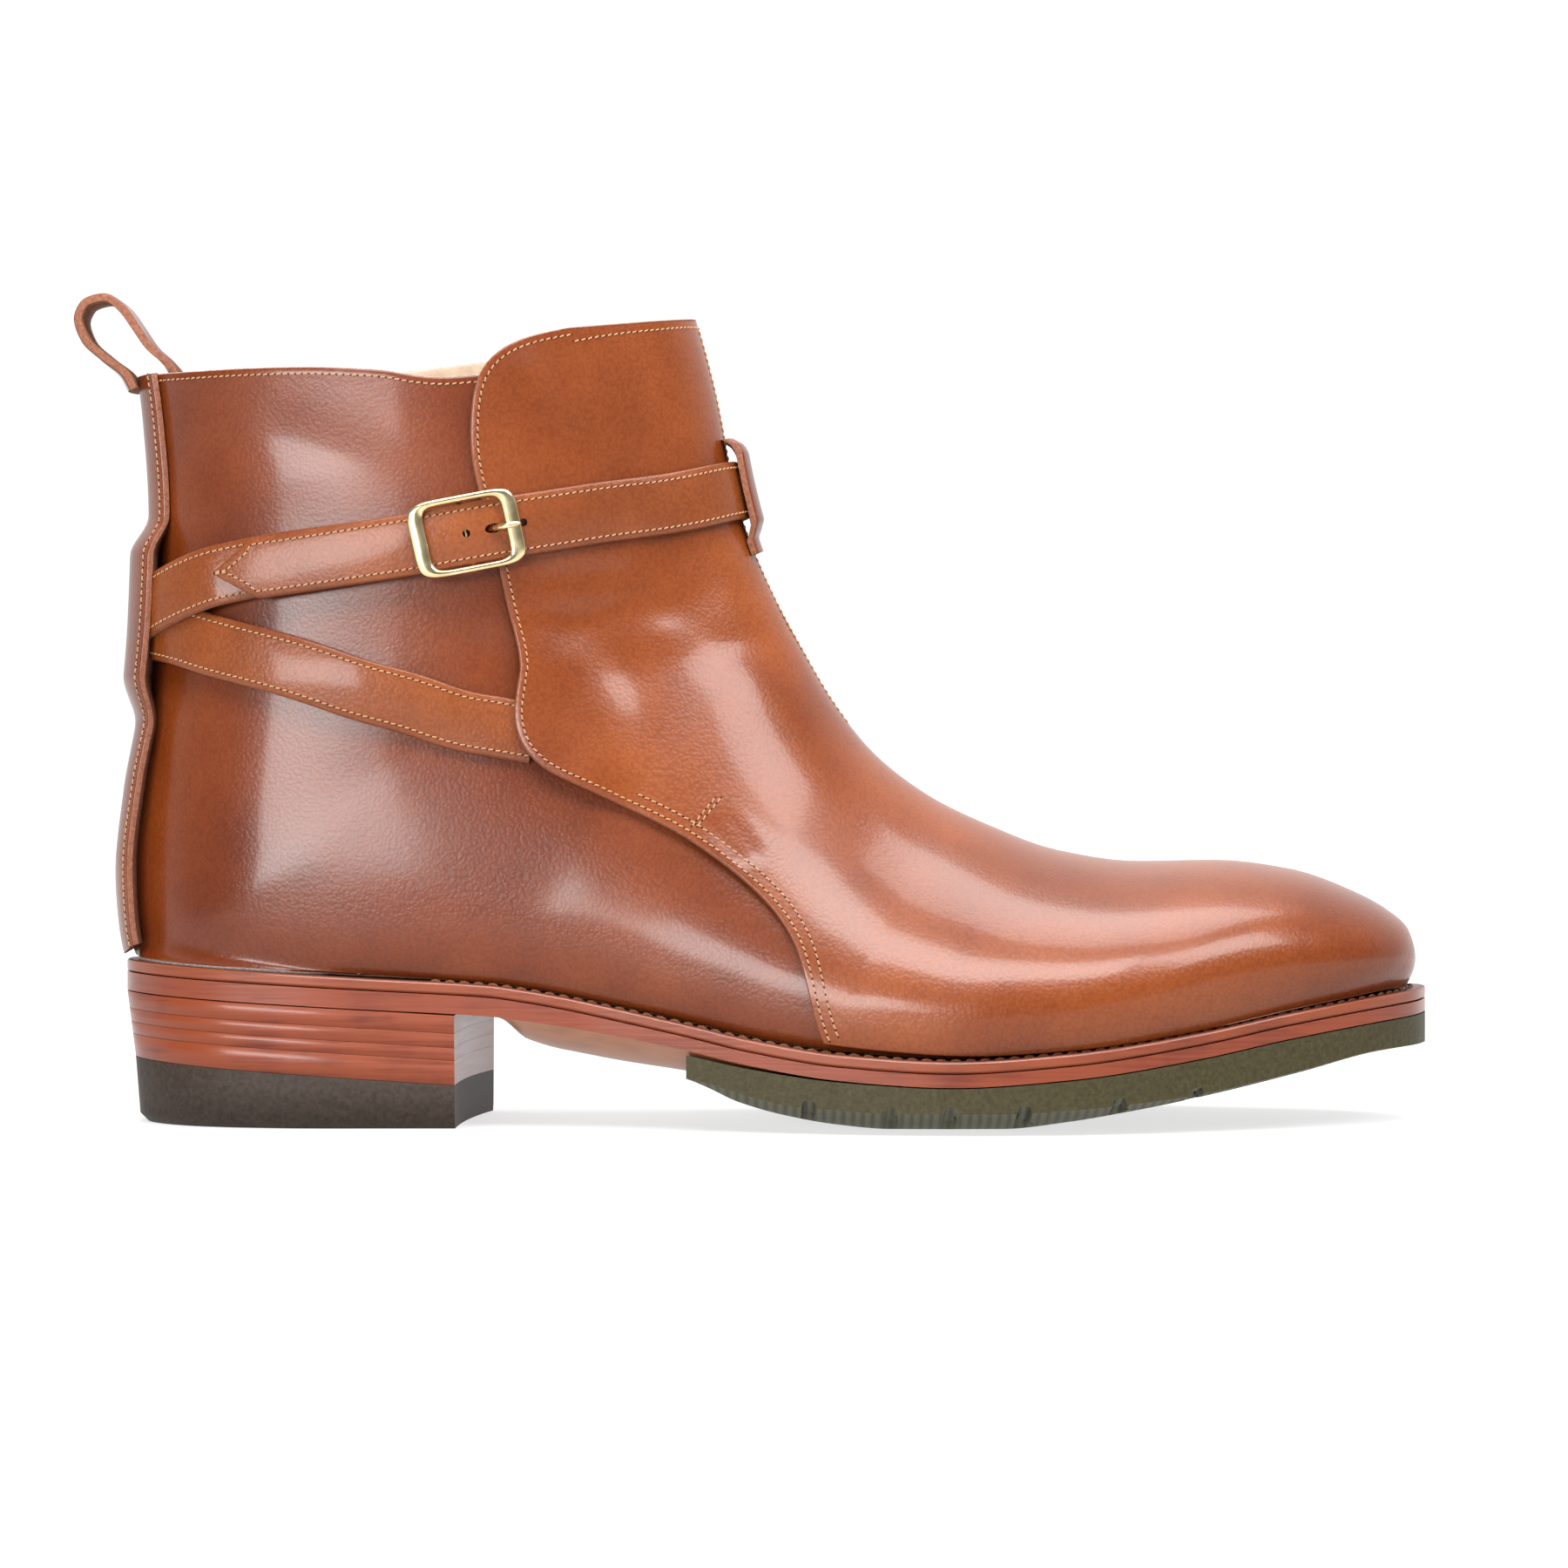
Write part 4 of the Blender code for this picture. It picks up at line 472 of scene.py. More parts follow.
def piece(name, points, faces, materials, nodes=(), kinds=None, smooth=40.0):
    """A mesh object that rides on the boot and may replace CAD nodes. Points closer than
    0.02 mm are joined; kinds gives each face its material."""
    mesh = bpy.data.meshes.new(name)
    mesh.from_pydata(points, [], faces)
    for stuff in materials:
        mesh.materials.append(stuff)
    if kinds is not None:
        mesh.polygons.foreach_set("material_index", kinds)
    shape = bmesh.new()
    shape.from_mesh(mesh)
    bmesh.ops.remove_doubles(shape, verts=shape.verts, dist=0.00002)
    shape.to_mesh(mesh)
    shape.free()
    mesh.shade_smooth()
    mesh.set_sharp_from_angle(angle=math.radians(smooth))
    made = bpy.data.objects.new(name, mesh)
    bpy.context.scene.collection.objects.link(made)
    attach(made, "root")
    if nodes:
        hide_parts(*nodes)
    return made


def round_edges(made, width, degrees, clamp=True):
    """Rounds the edges that turn by more than an angle."""
    bevel = made.modifiers.new("Rounded", "BEVEL")
    bevel.limit_method = "ANGLE"
    bevel.angle_limit = math.radians(degrees)
    bevel.width = width
    bevel.segments = 2
    bevel.use_clamp_overlap = clamp


def sheet(name, grid, wall, materials, nodes, offset, edge):
    """Leather of even wall on a grid: its face, its flesh side and its rounded cut edge."""
    rows, columns = grid.shape[:2]
    made = piece(name, grid.reshape(-1, 3), grid_faces(rows, columns), materials, nodes)
    solid = made.modifiers.new("Wall", "SOLIDIFY")
    solid.thickness = wall
    solid.offset = offset
    solid.use_even_offset = True
    solid.use_quality_normals = True
    solid.material_offset = 1
    solid.material_offset_rim = 2
    round_edges(made, edge, 40.0, clamp=False)


def noise(tree, vector, scale, detail, roughness=0.5, output="Fac"):
    """An output of a noise texture read at a vector."""
    made = add(tree, "ShaderNodeTexNoise", {"Vector": vector, "Scale": scale, "Detail": detail,
                                            "Roughness": roughness})
    return made.outputs[output]


def object_place(tree):
    """The place on the object itself."""
    return add(tree, "ShaderNodeTexCoord").outputs["Object"]


def grain_group():
    """Calf grain: rounded cells about 0.8 mm wide, softened by finer noise, and a slow
    mottle. Height = 1 - cell distance - 0.35 noise; Mottle changes over a few centimetres."""
    group = bpy.data.node_groups.new("calf_grain", "ShaderNodeTree")
    group.interface.new_socket("Vector", in_out="INPUT", socket_type="NodeSocketVector")
    group.interface.new_socket("Height", in_out="OUTPUT", socket_type="NodeSocketFloat")
    group.interface.new_socket("Mottle", in_out="OUTPUT", socket_type="NodeSocketFloat")
    start = group.nodes.new("NodeGroupInput")
    end = group.nodes.new("NodeGroupOutput")
    vector = start.outputs["Vector"]
    bend = noise(group, vector, 420.0, 2.0, output="Color")
    moved = add(group, "ShaderNodeVectorMath", {0: bend, 1: (0.0011, 0.0011, 0.0011), 2: vector},
                operation="MULTIPLY_ADD")
    cells = add(group, "ShaderNodeTexVoronoi", {"Vector": moved.outputs[0], "Scale": 1250.0,
                                                "Smoothness": 0.6}, feature="SMOOTH_F1")
    fine = noise(group, vector, 2600.0, 3.0)
    height = add(group, "ShaderNodeMath", {0: fine, 1: 0.35, 2: cells.outputs["Distance"]},
                 operation="MULTIPLY_ADD")
    flipped = add(group, "ShaderNodeMath", {0: 1.0, 1: height.outputs[0]}, operation="SUBTRACT")
    group.links.new(flipped.outputs[0], end.inputs["Height"])
    group.links.new(noise(group, vector, 22.0, 5.0, 0.55), end.inputs["Mottle"])
    return group


GRAIN = grain_group()
BUMP_DISTANCE = 0.0004


def surfaced(tree, shader, tone, height, strength, distance, gloss=None):
    """Gives a shader its tone, its bump from a height, and its roughness as a factor read
    between a low and a high value."""
    tree.links.new(tone, shader.inputs["Base Color"])
    if gloss:
        factor, low, high = gloss
        spread = add(tree, "ShaderNodeMapRange", {"Value": factor, "To Min": low, "To Max": high})
        tree.links.new(spread.outputs[0], shader.inputs["Roughness"])
    bump = add(tree, "ShaderNodeBump", {"Strength": strength, "Distance": distance, "Height": height})
    tree.links.new(bump.outputs["Normal"], shader.inputs["Normal"])


def calf(name, dark, mid, light, roughness, depth, coat=0.26):
    """Polished calf: three tones mixed by the mottle, pebble bump, waxed top coat."""
    made, tree, shader = blank_material(name, {"Coat Weight": coat, "Coat Roughness": 0.13,
                                               "Specular IOR Level": 0.28})
    grain = add(tree, "ShaderNodeGroup", node_tree=GRAIN)
    tree.links.new(object_place(tree), grain.inputs["Vector"])
    tone = ramp(tree, grain.outputs["Mottle"], ((0.30, dark), (0.52, mid), (0.74, light)))
    pores = ramp(tree, grain.outputs["Height"], ((0.10, (0.78, 0.72, 0.66)), (0.55, (1.0, 1.0, 1.0))))
    mixed = add(tree, "ShaderNodeMix", data_type="RGBA", blend_type="MULTIPLY")
    mixed.inputs[0].default_value = 0.8
    tree.links.new(tone, mixed.inputs[6])
    tree.links.new(pores, mixed.inputs[7])
    surfaced(tree, shader, mixed.outputs[2], grain.outputs["Height"], depth, BUMP_DISTANCE,
             (grain.outputs["Mottle"], roughness - 0.05, roughness + 0.08))
    return made


def fibrous(name, dark, light, roughness, scale, strength):
    """Raw or suede-like leather: two tones and a bump from the same fibrous noise."""
    made, tree, shader = blank_material(name, {"Roughness": roughness, "Specular IOR Level": 0.2})
    fibre = noise(tree, object_place(tree), scale, 6.0, 0.7)
    tone = ramp(tree, fibre, ((0.32, dark), (0.68, light)))
    surfaced(tree, shader, tone, fibre, strength, BUMP_DISTANCE)
    return made


CALF = calf("calf", (0.088, 0.0140, 0.0022), (0.130, 0.0240, 0.0036), (0.175, 0.0370, 0.0062), 0.30, 0.13)
LINING = fibrous("lining", (0.34, 0.24, 0.16), (0.46, 0.34, 0.25), 0.75, 260.0, 0.25)
CUT_EDGE = fibrous("cut_edge", (0.15, 0.050, 0.027), (0.27, 0.115, 0.070), 0.85, 1100.0, 0.7)
COLLAR_EDGE = fibrous("collar_edge", (0.17, 0.135, 0.12), (0.40, 0.36, 0.33), 0.95, 1500.0, 1.0)

HALF_TURNS = np.concatenate([np.linspace(1.0, 0.8, 12)[:-1], 0.8 * np.linspace(1.0, 0.0, 54) ** 0.9])
outer_line = side_line(-1, COLLAR_OUTER)
inner_line = side_line(1, COLLAR_INNER)
leg_rows = np.arange(ANKLE_ROW, len(SECTIONS))
ridge_top = float(np.interp(COLLAR_OUTER[-1][1], row_value("ridge_z", leg_rows), leg_rows))
knots = np.concatenate([[-1.0], outer_line[:, 1], inner_line[::-1, 1], [1.0]])
tops = np.concatenate([outer_line[:1, 0], outer_line[:, 0], inner_line[::-1, 0], inner_line[:1, 0]])
order = np.argsort(knots, kind="stable")
knots, tops = knots[order], tops[order]
keep = np.concatenate([[True], np.diff(knots) > 1e-4])


def collar_row(turns):
    """Row of the collar's edge at each turn, by the cubic through both side outlines."""
    return np.minimum(smooth_curve(knots[keep], tops[keep], turns), ridge_top)


turns = np.concatenate([-HALF_TURNS, HALF_TURNS[-2::-1]])
rows = np.concatenate([np.linspace(COLLAR_ROW, HEEL_ROW, 52)[:-1], np.linspace(HEEL_ROW, ARCH_ROW, 24)[:-1],
                       np.linspace(ARCH_ROW, SEAM_FOOT_ROW, 30)[:-1],
                       SEAM_FOOT_ROW * np.linspace(1.0, 0.0, 44) ** 1.15])
fade = faded(rows - FADE_ROW, COLLAR_ROW - FADE_ROW)
row_grid = rows[:, None] - (COLLAR_ROW - collar_row(turns))[None, :] * fade[:, None]
turn_grid = np.broadcast_to(turns[None, :], row_grid.shape)
upper_grid = lifted(row_grid, turn_grid, np.zeros(row_grid.shape))

# The heel's sides are evened by repeated means of the four points beside each point.
around_heel = (faded(row_grid - HEEL_AREA_ROWS[0], 3.0) * faded(HEEL_AREA_ROWS[1] - row_grid, 3.0)
               * faded(np.abs(turn_grid) - HEEL_AREA_TURN, 0.15)
               * faded(1.0 - np.abs(turn_grid), 0.05))[1:-1, 1:-1, None] * 0.5
for _ in range(HEEL_SMOOTHING):
    inside = upper_grid[1:-1, 1:-1]
    beside = (upper_grid[:-2, 1:-1] + upper_grid[2:, 1:-1]
              + upper_grid[1:-1, :-2] + upper_grid[1:-1, 2:]) / 4.0
    upper_grid[1:-1, 1:-1] = inside + (beside - inside) * around_heel
sheet("shown_upper", upper_grid, LINED_WALL, (CALF, LINING, COLLAR_EDGE), ["upper"], -1.0, UPPER_EDGE)


# Front panel: vamp and flap cut in one from lighter calf. Its outer edge wraps over the
# quarter and stays free above the foot; its inner edge is stitched down.
PANEL_GAP = 0.0008
PANEL_WALL = 0.0016
STRAP_WALL = 0.0015
STRAP_WIDTH = 0.0140
PANEL_EDGE = 0.00035
EDGE_SMOOTHING = 60
PANEL_STEPS = 260
BEND_ROWS = 38.0

# The panel's edges as seen from each side, from the collar to the sole: shares of the
# last's length and the upper's height.
PANEL_EDGE_OUTER = (
    (0.350, 0.980), (0.320, 0.970), (0.294, 0.950), (0.279, 0.912), (0.276, 0.835),
    (0.283, 0.777), (0.299, 0.678), (0.314, 0.559), (0.325, 0.444), (0.362, 0.415),
    (0.404, 0.385), (0.439, 0.357), (0.474, 0.317), (0.501, 0.279), (0.521, 0.237),
    (0.533, 0.181),
)
PANEL_EDGE_INNER = (
    (0.363, 0.982), (0.343, 0.965), (0.333, 0.915), (0.327, 0.824), (0.324, 0.745),
    (0.322, 0.649), (0.322, 0.548), (0.328, 0.452), (0.363, 0.418), (0.404, 0.388),
    (0.439, 0.360), (0.474, 0.320), (0.501, 0.282), (0.521, 0.239), (0.533, 0.186),
)

# The straps' middle lines: side, share of the last's length, share of the upper's height,
# and the layer. Layer 0 lies on the quarter, 1 on the panel, and each further strap adds 1.
LONG_STRAP = (
    (-1, 0.325, 0.483, 0.0), (-1, 0.242, 0.518, 0.0), (-1, 0.165, 0.553, 0.0),
    (-1, 0.085, 0.588, 0.0), (-1, 0.035, 0.612, 0.1),
    (1, 0.062, 0.646, 0.1), (1, 0.145, 0.684, 0.0), (1, 0.230, 0.716, 0.1),
    (1, 0.290, 0.735, 1.0), (1, 0.343, 0.750, 1.0), (1, 0.423, 0.771, 1.1),
    (1, 0.4685, 0.781, 1.15),
    (-1, 0.433, 0.769, 1.1), (-1, 0.380, 0.757, 1.0), (-1, 0.335, 0.744, 1.1),
    (-1, 0.300, 0.735, 1.3), (-1, 0.270, 0.726, 1.3), (-1, 0.240, 0.716, 1.15),
    (-1, 0.205, 0.706, 1.0), (-1, 0.150, 0.692, 1.0), (-1, 0.124, 0.686, 1.2),
    (-1, 0.090, 0.679, 1.7),
)
BUCKLE_STRAP = (
    (-1, 0.266, 0.725, 0.0), (-1, 0.239, 0.716, 0.0), (-1, 0.175, 0.701, 0.0),
    (-1, 0.125, 0.691, 0.0), (-1, 0.105, 0.685, 0.2), (-1, 0.078, 0.674, 1.0),
    (-1, 0.045, 0.650, 1.0),
    (1, 0.045, 0.606, 1.0), (1, 0.088, 0.588, 1.0), (1, 0.112, 0.577, 0.8),
    (1, 0.165, 0.553, 0.0), (1, 0.242, 0.518, 0.0), (1, 0.325, 0.483, 0.0),
)

PANEL_CALF = calf("panel_calf", (0.125, 0.024, 0.0036), (0.175, 0.038, 0.0064), (0.230, 0.056, 0.0110),
                  0.30, 0.14)


def slide(row, turn, offset):
    """Row and turn after moving by an offset: four Newton steps in the tangent plane."""
    start = skin(row, turn)
    here_row = np.array(row, dtype=float)
    here_turn = np.array(turn, dtype=float)
    small = 0.003
    for _ in range(4):
        left = start + offset - skin(here_row, here_turn)
        by_row = (skin(here_row + small, here_turn) - skin(here_row - small, here_turn)) / (2 * small)
        by_turn = (skin(here_row, here_turn + small) - skin(here_row, here_turn - small)) / (2 * small)
        rr, rt, tt = [np.sum(a * b, axis=-1) for a, b in ((by_row, by_row), (by_row, by_turn),
                                                          (by_turn, by_turn))]
        to_row, to_turn = np.sum(by_row * left, axis=-1), np.sum(by_turn * left, axis=-1)
        area = np.maximum(rr * tt - rt * rt, 1e-14)
        here_row = np.clip(here_row + (to_row * tt - to_turn * rt) / area, 0.0, len(SECTIONS) - 1.0)
        here_turn = here_turn + (to_turn * rr - to_row * rt) / area
    return here_row, here_turn


def evened(points, passes):
    """A line smoothed by repeated means (before + 2 * here + after) / 4, its ends kept."""
    even_line = points.copy()
    for _ in range(passes):
        even_line[1:-1] = (even_line[:-2] + 2.0 * even_line[1:-1] + even_line[2:]) / 4.0
    return even_line


def panel_line(side, outline, count):
    """The panel's edge on one side, from the collar to the foot of the seam, smoothed."""
    places = np.concatenate([side_line(side, outline), [[SEAM_FOOT_ROW, side * FOOT_TURN]]])
    line = along_skin(places, PANEL_STEPS)
    rough = skin(line[:, 0], line[:, 1])
    smooth = np.stack(slide(line[:, 0], line[:, 1], evened(rough, EDGE_SMOOTHING) - rough), axis=-1)
    return read_at(np.linspace(0.0, PANEL_STEPS - 1.0, count), np.arange(PANEL_STEPS), smooth)


def panel_lift(points):
    """Height of the panel over the upper: its gap, and one strap more within a strap's
    width of the places where the two lower straps run under it."""
    hump = np.zeros(points.shape[:-1])
    for side, route in ((-1, LONG_STRAP[0]), (1, BUCKLE_STRAP[-1])):
        spot = skin(*find_on_skin(side, place_along(route[1]), route[2] * UPPER_HEIGHT))
        near = np.clip(2.0 - np.linalg.norm(points - spot, axis=-1) / STRAP_WIDTH, 0.0, 1.0)
        hump = np.maximum(hump, near * near * (3.0 - 2.0 * near))
    return PANEL_GAP + hump * (STRAP_WALL + GAP)


def on_panel(row, turn):
    """A point on the panel's face."""
    return lifted(row, turn, panel_lift(skin(row, turn)) + PANEL_WALL)


half_shares = np.linspace(1.0, 0.0, 44) ** 0.9
toe_rows = TOE_ROW + (SEAM_FOOT_ROW - TOE_ROW) * np.linspace(1.0, 0.0, 46)[1:] ** 1.15
halves = []
for side, outline in ((-1.0, PANEL_EDGE_OUTER), (1.0, PANEL_EDGE_INNER)):
    line = panel_line(side, outline, 110)
    toe_reach = FOOT_TURN + (TOE_TURN - FOOT_TURN) * np.clip(1.0 - toe_rows / 6.0, 0.0, 1.0) ** 1.5
    edge_row = np.concatenate([line[:, 0], toe_rows])
    edge_turn = np.concatenate([line[:, 1], side * toe_reach])
    down = np.clip(1.0 - np.arange(len(edge_row)) / BEND_ROWS, 0.0, 1.0)
    ridge_row = edge_row + (COLLAR_ROW - line[0, 0]) * down ** 2
    halves.append((ridge_row[:, None] + (edge_row - ridge_row)[:, None] * half_shares[None, :],
                   edge_turn[:, None] * half_shares[None, :]))
(outer_row, outer_turn), (inner_row, inner_turn) = halves
outer_row[:, -1] = (outer_row[:, -1] + inner_row[:, -1]) / 2.0
row = np.concatenate([outer_row, inner_row[:, -2::-1]], axis=1)
turn = np.concatenate([outer_turn, inner_turn[:, -2::-1]], axis=1)
sheet("shown_front_panel", lifted(row, turn, panel_lift(skin(row, turn))), PANEL_WALL,
      (PANEL_CALF, CUT_EDGE, CUT_EDGE), ["front_panel"], 1.0, PANEL_EDGE)


# Back stay: a strip over the back seam, stitched down both edges, standing out where the
# two straps cross under it.
STAY_WALL = 0.0016
STAY_WIDTH_TOP = 0.0215
STAY_WIDTH_FOOT = 0.0250
STAY_EDGE = 0.00045
STAY_FOOT_ROW = 19.3
STAY_LAYER = 2.1
STAY_STEPS = 130

# How far the stay stands out over the straps, from 0 to 1, at shares of the upper's height.
STAY_HUMP = ((0.0, 0.490, 0.555, 0.705, 0.755, 1.0), (0.0, 0.0, 1.0, 1.0, 0.0, 0.0))


def layer_lift(layer):
    """Height over the upper of a strap's underside: up to layer 1 in shares of the panel's
    height, then in straps."""
    on_front = PANEL_GAP + PANEL_WALL + GAP
    return np.where(layer <= 1.0, SEAT_GAP + layer * (on_front - SEAT_GAP),
                    on_front + (layer - 1.0) * (STRAP_WALL + GAP))


def turn_at_width(row, width):
    """Turn at which a section's lower arc reaches the given half width."""
    foot = row_value("foot_outer", row) * BALL_WIDTH
    wide = row_value("outer", row) * BALL_WIDTH
    share = np.clip((width - foot) / (wide - foot), 0.0, 1.0)
    return 0.5 + np.arccos(share ** (row_value("tuck", row) / 2.0)) / math.pi


def closed_grid(rows, columns, wrap_rows=False):
    """Quads of a grid that closes round its columns, and round its rows if asked."""
    row_index = np.arange(rows if wrap_rows else rows - 1)[:, None]
    column_index = np.arange(columns)[None, :]
    after_row = (row_index + 1) % rows * columns
    after_column = (column_index + 1) % columns
    return np.stack([row_index * columns + column_index, row_index * columns + after_column,
                     after_row + after_column, after_row + column_index], axis=-1).reshape(-1, 4)


def strip(name, place, half, wall, edge, materials, nodes):
    """A band with rounded edges: a closed section carried along. Half is the half width at
    each step, and place(across, height) gives the points of one line of the section. The
    section runs over both top edges in quarter circles and home along the underside."""
    corner = np.linspace(0.0, math.pi / 2.0, 4)
    flat = np.linspace(-1.0, 1.0, 9)[1:-1]
    share = np.concatenate([-np.ones(4), flat, np.ones(6), -np.ones(2)])
    out = np.concatenate([-np.cos(corner), np.zeros(7), np.sin(corner), (1.0, 0.7, -0.7, -1.0)])
    fall = np.concatenate([np.sin(corner) - 1.0, np.zeros(7), np.cos(corner) - 1.0])
    height = np.concatenate([wall + fall * edge, np.array((0.25, 0.0, 0.0, 0.25)) * edge])
    kinds = np.array([2] + [0] * 12 + [2, 2, 1, 1, 2, 2])
    lines = []
    steps, columns = len(half), len(share)
    for one_share, one_out, one_height in zip(share, out, height):
        across = one_share * np.maximum(half - edge, 0.0) + one_out * np.minimum(edge, half)
        lines.append(place(across, np.full(steps, one_height)))
    points = np.stack(lines, axis=1).reshape(-1, 3)
    faces = closed_grid(steps, columns)[:, ::-1].tolist()
    faces += [list(range(columns)), list(range((steps - 1) * columns, steps * columns))[::-1]]
    kinds = np.append(np.tile(kinds, steps - 1), (2, 2))
    return piece(name, points, faces, materials, nodes, kinds)


STAY_ROWS = np.linspace(outer_line[0, 0], STAY_FOOT_ROW, STAY_STEPS)
STAY_HALF = np.linspace(STAY_WIDTH_TOP, STAY_WIDTH_FOOT, STAY_STEPS) / 2.0


def stay_place(across, height):
    """A line down the stay at a distance from the back line, over the stay's inner face."""
    turn = 1.0 - np.sign(across) * (1.0 - turn_at_width(STAY_ROWS, np.abs(across)))
    hump = smooth_curve(*STAY_HUMP, skin(STAY_ROWS, turn)[:, 2] / UPPER_HEIGHT)
    return lifted(STAY_ROWS, turn, SEAT_GAP + hump * (layer_lift(STAY_LAYER) - SEAT_GAP) + height)


strip("shown_back_stay", stay_place, STAY_HALF, STAY_WALL, STAY_EDGE, (CALF, CUT_EDGE, CUT_EDGE),
      ["back_stay"])


# Pull loop: a folded band sewn outside the stay and inside the collar, standing up as a
# teardrop, smooth outside and suede inside.
LOOP_WALL = 0.0019
LOOP_WIDTH = 0.0165
LOOP_RISE = 0.0200
LOOP_EDGE = 0.00050
LOOP_CURL_RADIUS = 0.0100
LOOP_STEPS = 90
CURL_STEP = 0.01

# The loop's middle line from its foot outside to its foot inside: shares of LOOP_RISE
# along the boot and up, and how far the band is curled round the back there.
LOOP_ROUTE = (
    (-0.175, -0.160, 0.35), (-0.265, 0.010, 0.3), (-0.475, 0.200, 0.1), (-0.690, 0.420, 0.0),
    (-0.770, 0.660, 0.0), (-0.675, 0.850, 0.0), (-0.460, 0.910, 0.0), (-0.265, 0.790, 0.0),
    (-0.120, 0.575, 0.1), (0.000, 0.335, 0.4), (0.115, 0.170, 0.8), (0.205, 0.000, 1.0),
    (0.230, -0.180, 1.0), (0.250, -0.420, 1.0),
)

LOOP_FLESH = fibrous("loop_flesh", (0.17, 0.065, 0.032), (0.27, 0.125, 0.072), 0.9, 700.0, 0.5)

back_point = skin(*outer_line[0])
loop_route = np.array(LOOP_ROUTE) * (LOOP_RISE, LOOP_RISE, CURL_STEP)
loop_route = even_steps(loop_route, loop_route, LOOP_STEPS)
loop_forward = unit(np.gradient(loop_route[:, :2], axis=0))


def loop_place(across, height):
    """A line along the loop: its side view moved out by the height, and the back's curl."""
    out = (height - LOOP_WALL / 2.0)[:, None] * loop_forward[:, ::-1] * (-1.0, 1.0)
    curl = loop_route[:, 2] / CURL_STEP * across * across / (2.0 * LOOP_CURL_RADIUS)
    return np.stack([back_point[0] + loop_route[:, 0] + curl + out[:, 0], across,
                     back_point[2] + loop_route[:, 1] + out[:, 1]], axis=-1)


strip("shown_pull_loop", loop_place, np.full(LOOP_STEPS, LOOP_WIDTH / 2.0), LOOP_WALL, LOOP_EDGE,
      (CALF, LOOP_FLESH, CUT_EDGE), ["pull_loop"])


# Straps: the long one starts under the front panel, goes round the heel, over the inner
# side and the front, through the buckle and back to its point. The short one holds the
# buckle. Both are crowned a little and stitched near their edges.
TIP_LENGTH = 0.0100
TIP_BLUNTNESS = 0.08
STRAP_CROWN = 0.0004
STRAP_EDGE = 0.00045
STRAP_SMOOTHING = 45
STRAP_CALF = calf("strap_calf", (0.125, 0.026, 0.0042), (0.185, 0.044, 0.0080), (0.245, 0.066, 0.0145),
                  0.34, 0.20, coat=0.2)


def above_skin(target, row, turn, height):
    """A target moved only along the upper's normal, on to its face and up by the height."""
    normal = skin_normal(row, turn)
    down = np.sum((skin(row, turn) - target) * normal, axis=-1)
    return target + normal * (down + height)[..., None]


def strap_path(route, count):
    """Row, turn, lift, forward direction, sideways direction and point at each step along
    a strap's route, smoothed in space."""
    places = []
    for side, x, z, layer in route:
        row, turn = find_on_skin(side, place_along(x), z * UPPER_HEIGHT)
        if places:
            turn += 2.0 * round((places[-1][1] - turn) / 2.0)
        places.append((row, turn, layer))
    row, turn, layer = along_skin(np.array(places), count).T
    rough = skin(row, turn)
    target = evened(rough, STRAP_SMOOTHING)
    row, turn = slide(row, turn, target - rough)
    spot = above_skin(target, row, turn, 0.0)
    tangent = unit(np.gradient(spot, axis=0))
    return row, turn, layer_lift(layer), tangent, unit(np.cross(skin_normal(row, turn), tangent)), spot


def strap_maker(route, count, pointed):
    """Half width at each step of a strap, running out at its point, and the function that
    gives its lines: the middle stands higher by crown * (1 - (across / half)^2)."""
    row, turn, lift, _, sideways, spot = strap_path(route, count)
    gone = lengths_along(spot)
    taper = np.clip((gone[-1] - gone) / TIP_LENGTH + TIP_BLUNTNESS, 0.0, 1.0) if pointed else np.ones(count)
    half = STRAP_WIDTH / 2.0 * taper

    def place(across, height, normals=False):
        offset = sideways * across[:, None]
        at_row, at_turn = slide(row, turn, offset)
        crown = STRAP_CROWN * (1.0 - (across / (STRAP_WIDTH / 2.0)) ** 2)
        depth = crease_depth(spot + offset)
        points = above_skin(spot + offset, at_row, at_turn, lift + crown + height - depth)
        return (points, skin_normal(at_row, at_turn)) if normals else points
    return half, place


def carve(made, points, faces):
    """Cuts closed shapes out of a piece for good."""
    mesh = bpy.data.meshes.new("tool")
    mesh.from_pydata(points, [], faces)
    tool = bpy.data.objects.new("tool", mesh)
    bpy.context.scene.collection.objects.link(tool)
    cut = made.modifiers.new("Cut", "BOOLEAN")
    cut.operation = "DIFFERENCE"
    cut.object = tool
    bpy.context.view_layer.update()
    shape = bpy.data.meshes.new_from_object(made.evaluated_get(bpy.context.evaluated_depsgraph_get()))
    made.modifiers.clear()
    made.data = shape
    bpy.data.objects.remove(tool)


LONG_HALF, long_place = strap_maker(LONG_STRAP, 300, True)
SHORT_HALF, short_place = strap_maker(BUCKLE_STRAP, 180, False)
long_strap = strip("shown_long_strap", long_place, LONG_HALF, STRAP_WALL, STRAP_EDGE,
                   (STRAP_CALF, CUT_EDGE, CUT_EDGE), ["long_strap"])
strip("shown_buckle_strap", short_place, SHORT_HALF, STRAP_WALL, STRAP_EDGE,
      (STRAP_CALF, CUT_EDGE, CUT_EDGE), ["buckle_strap"])


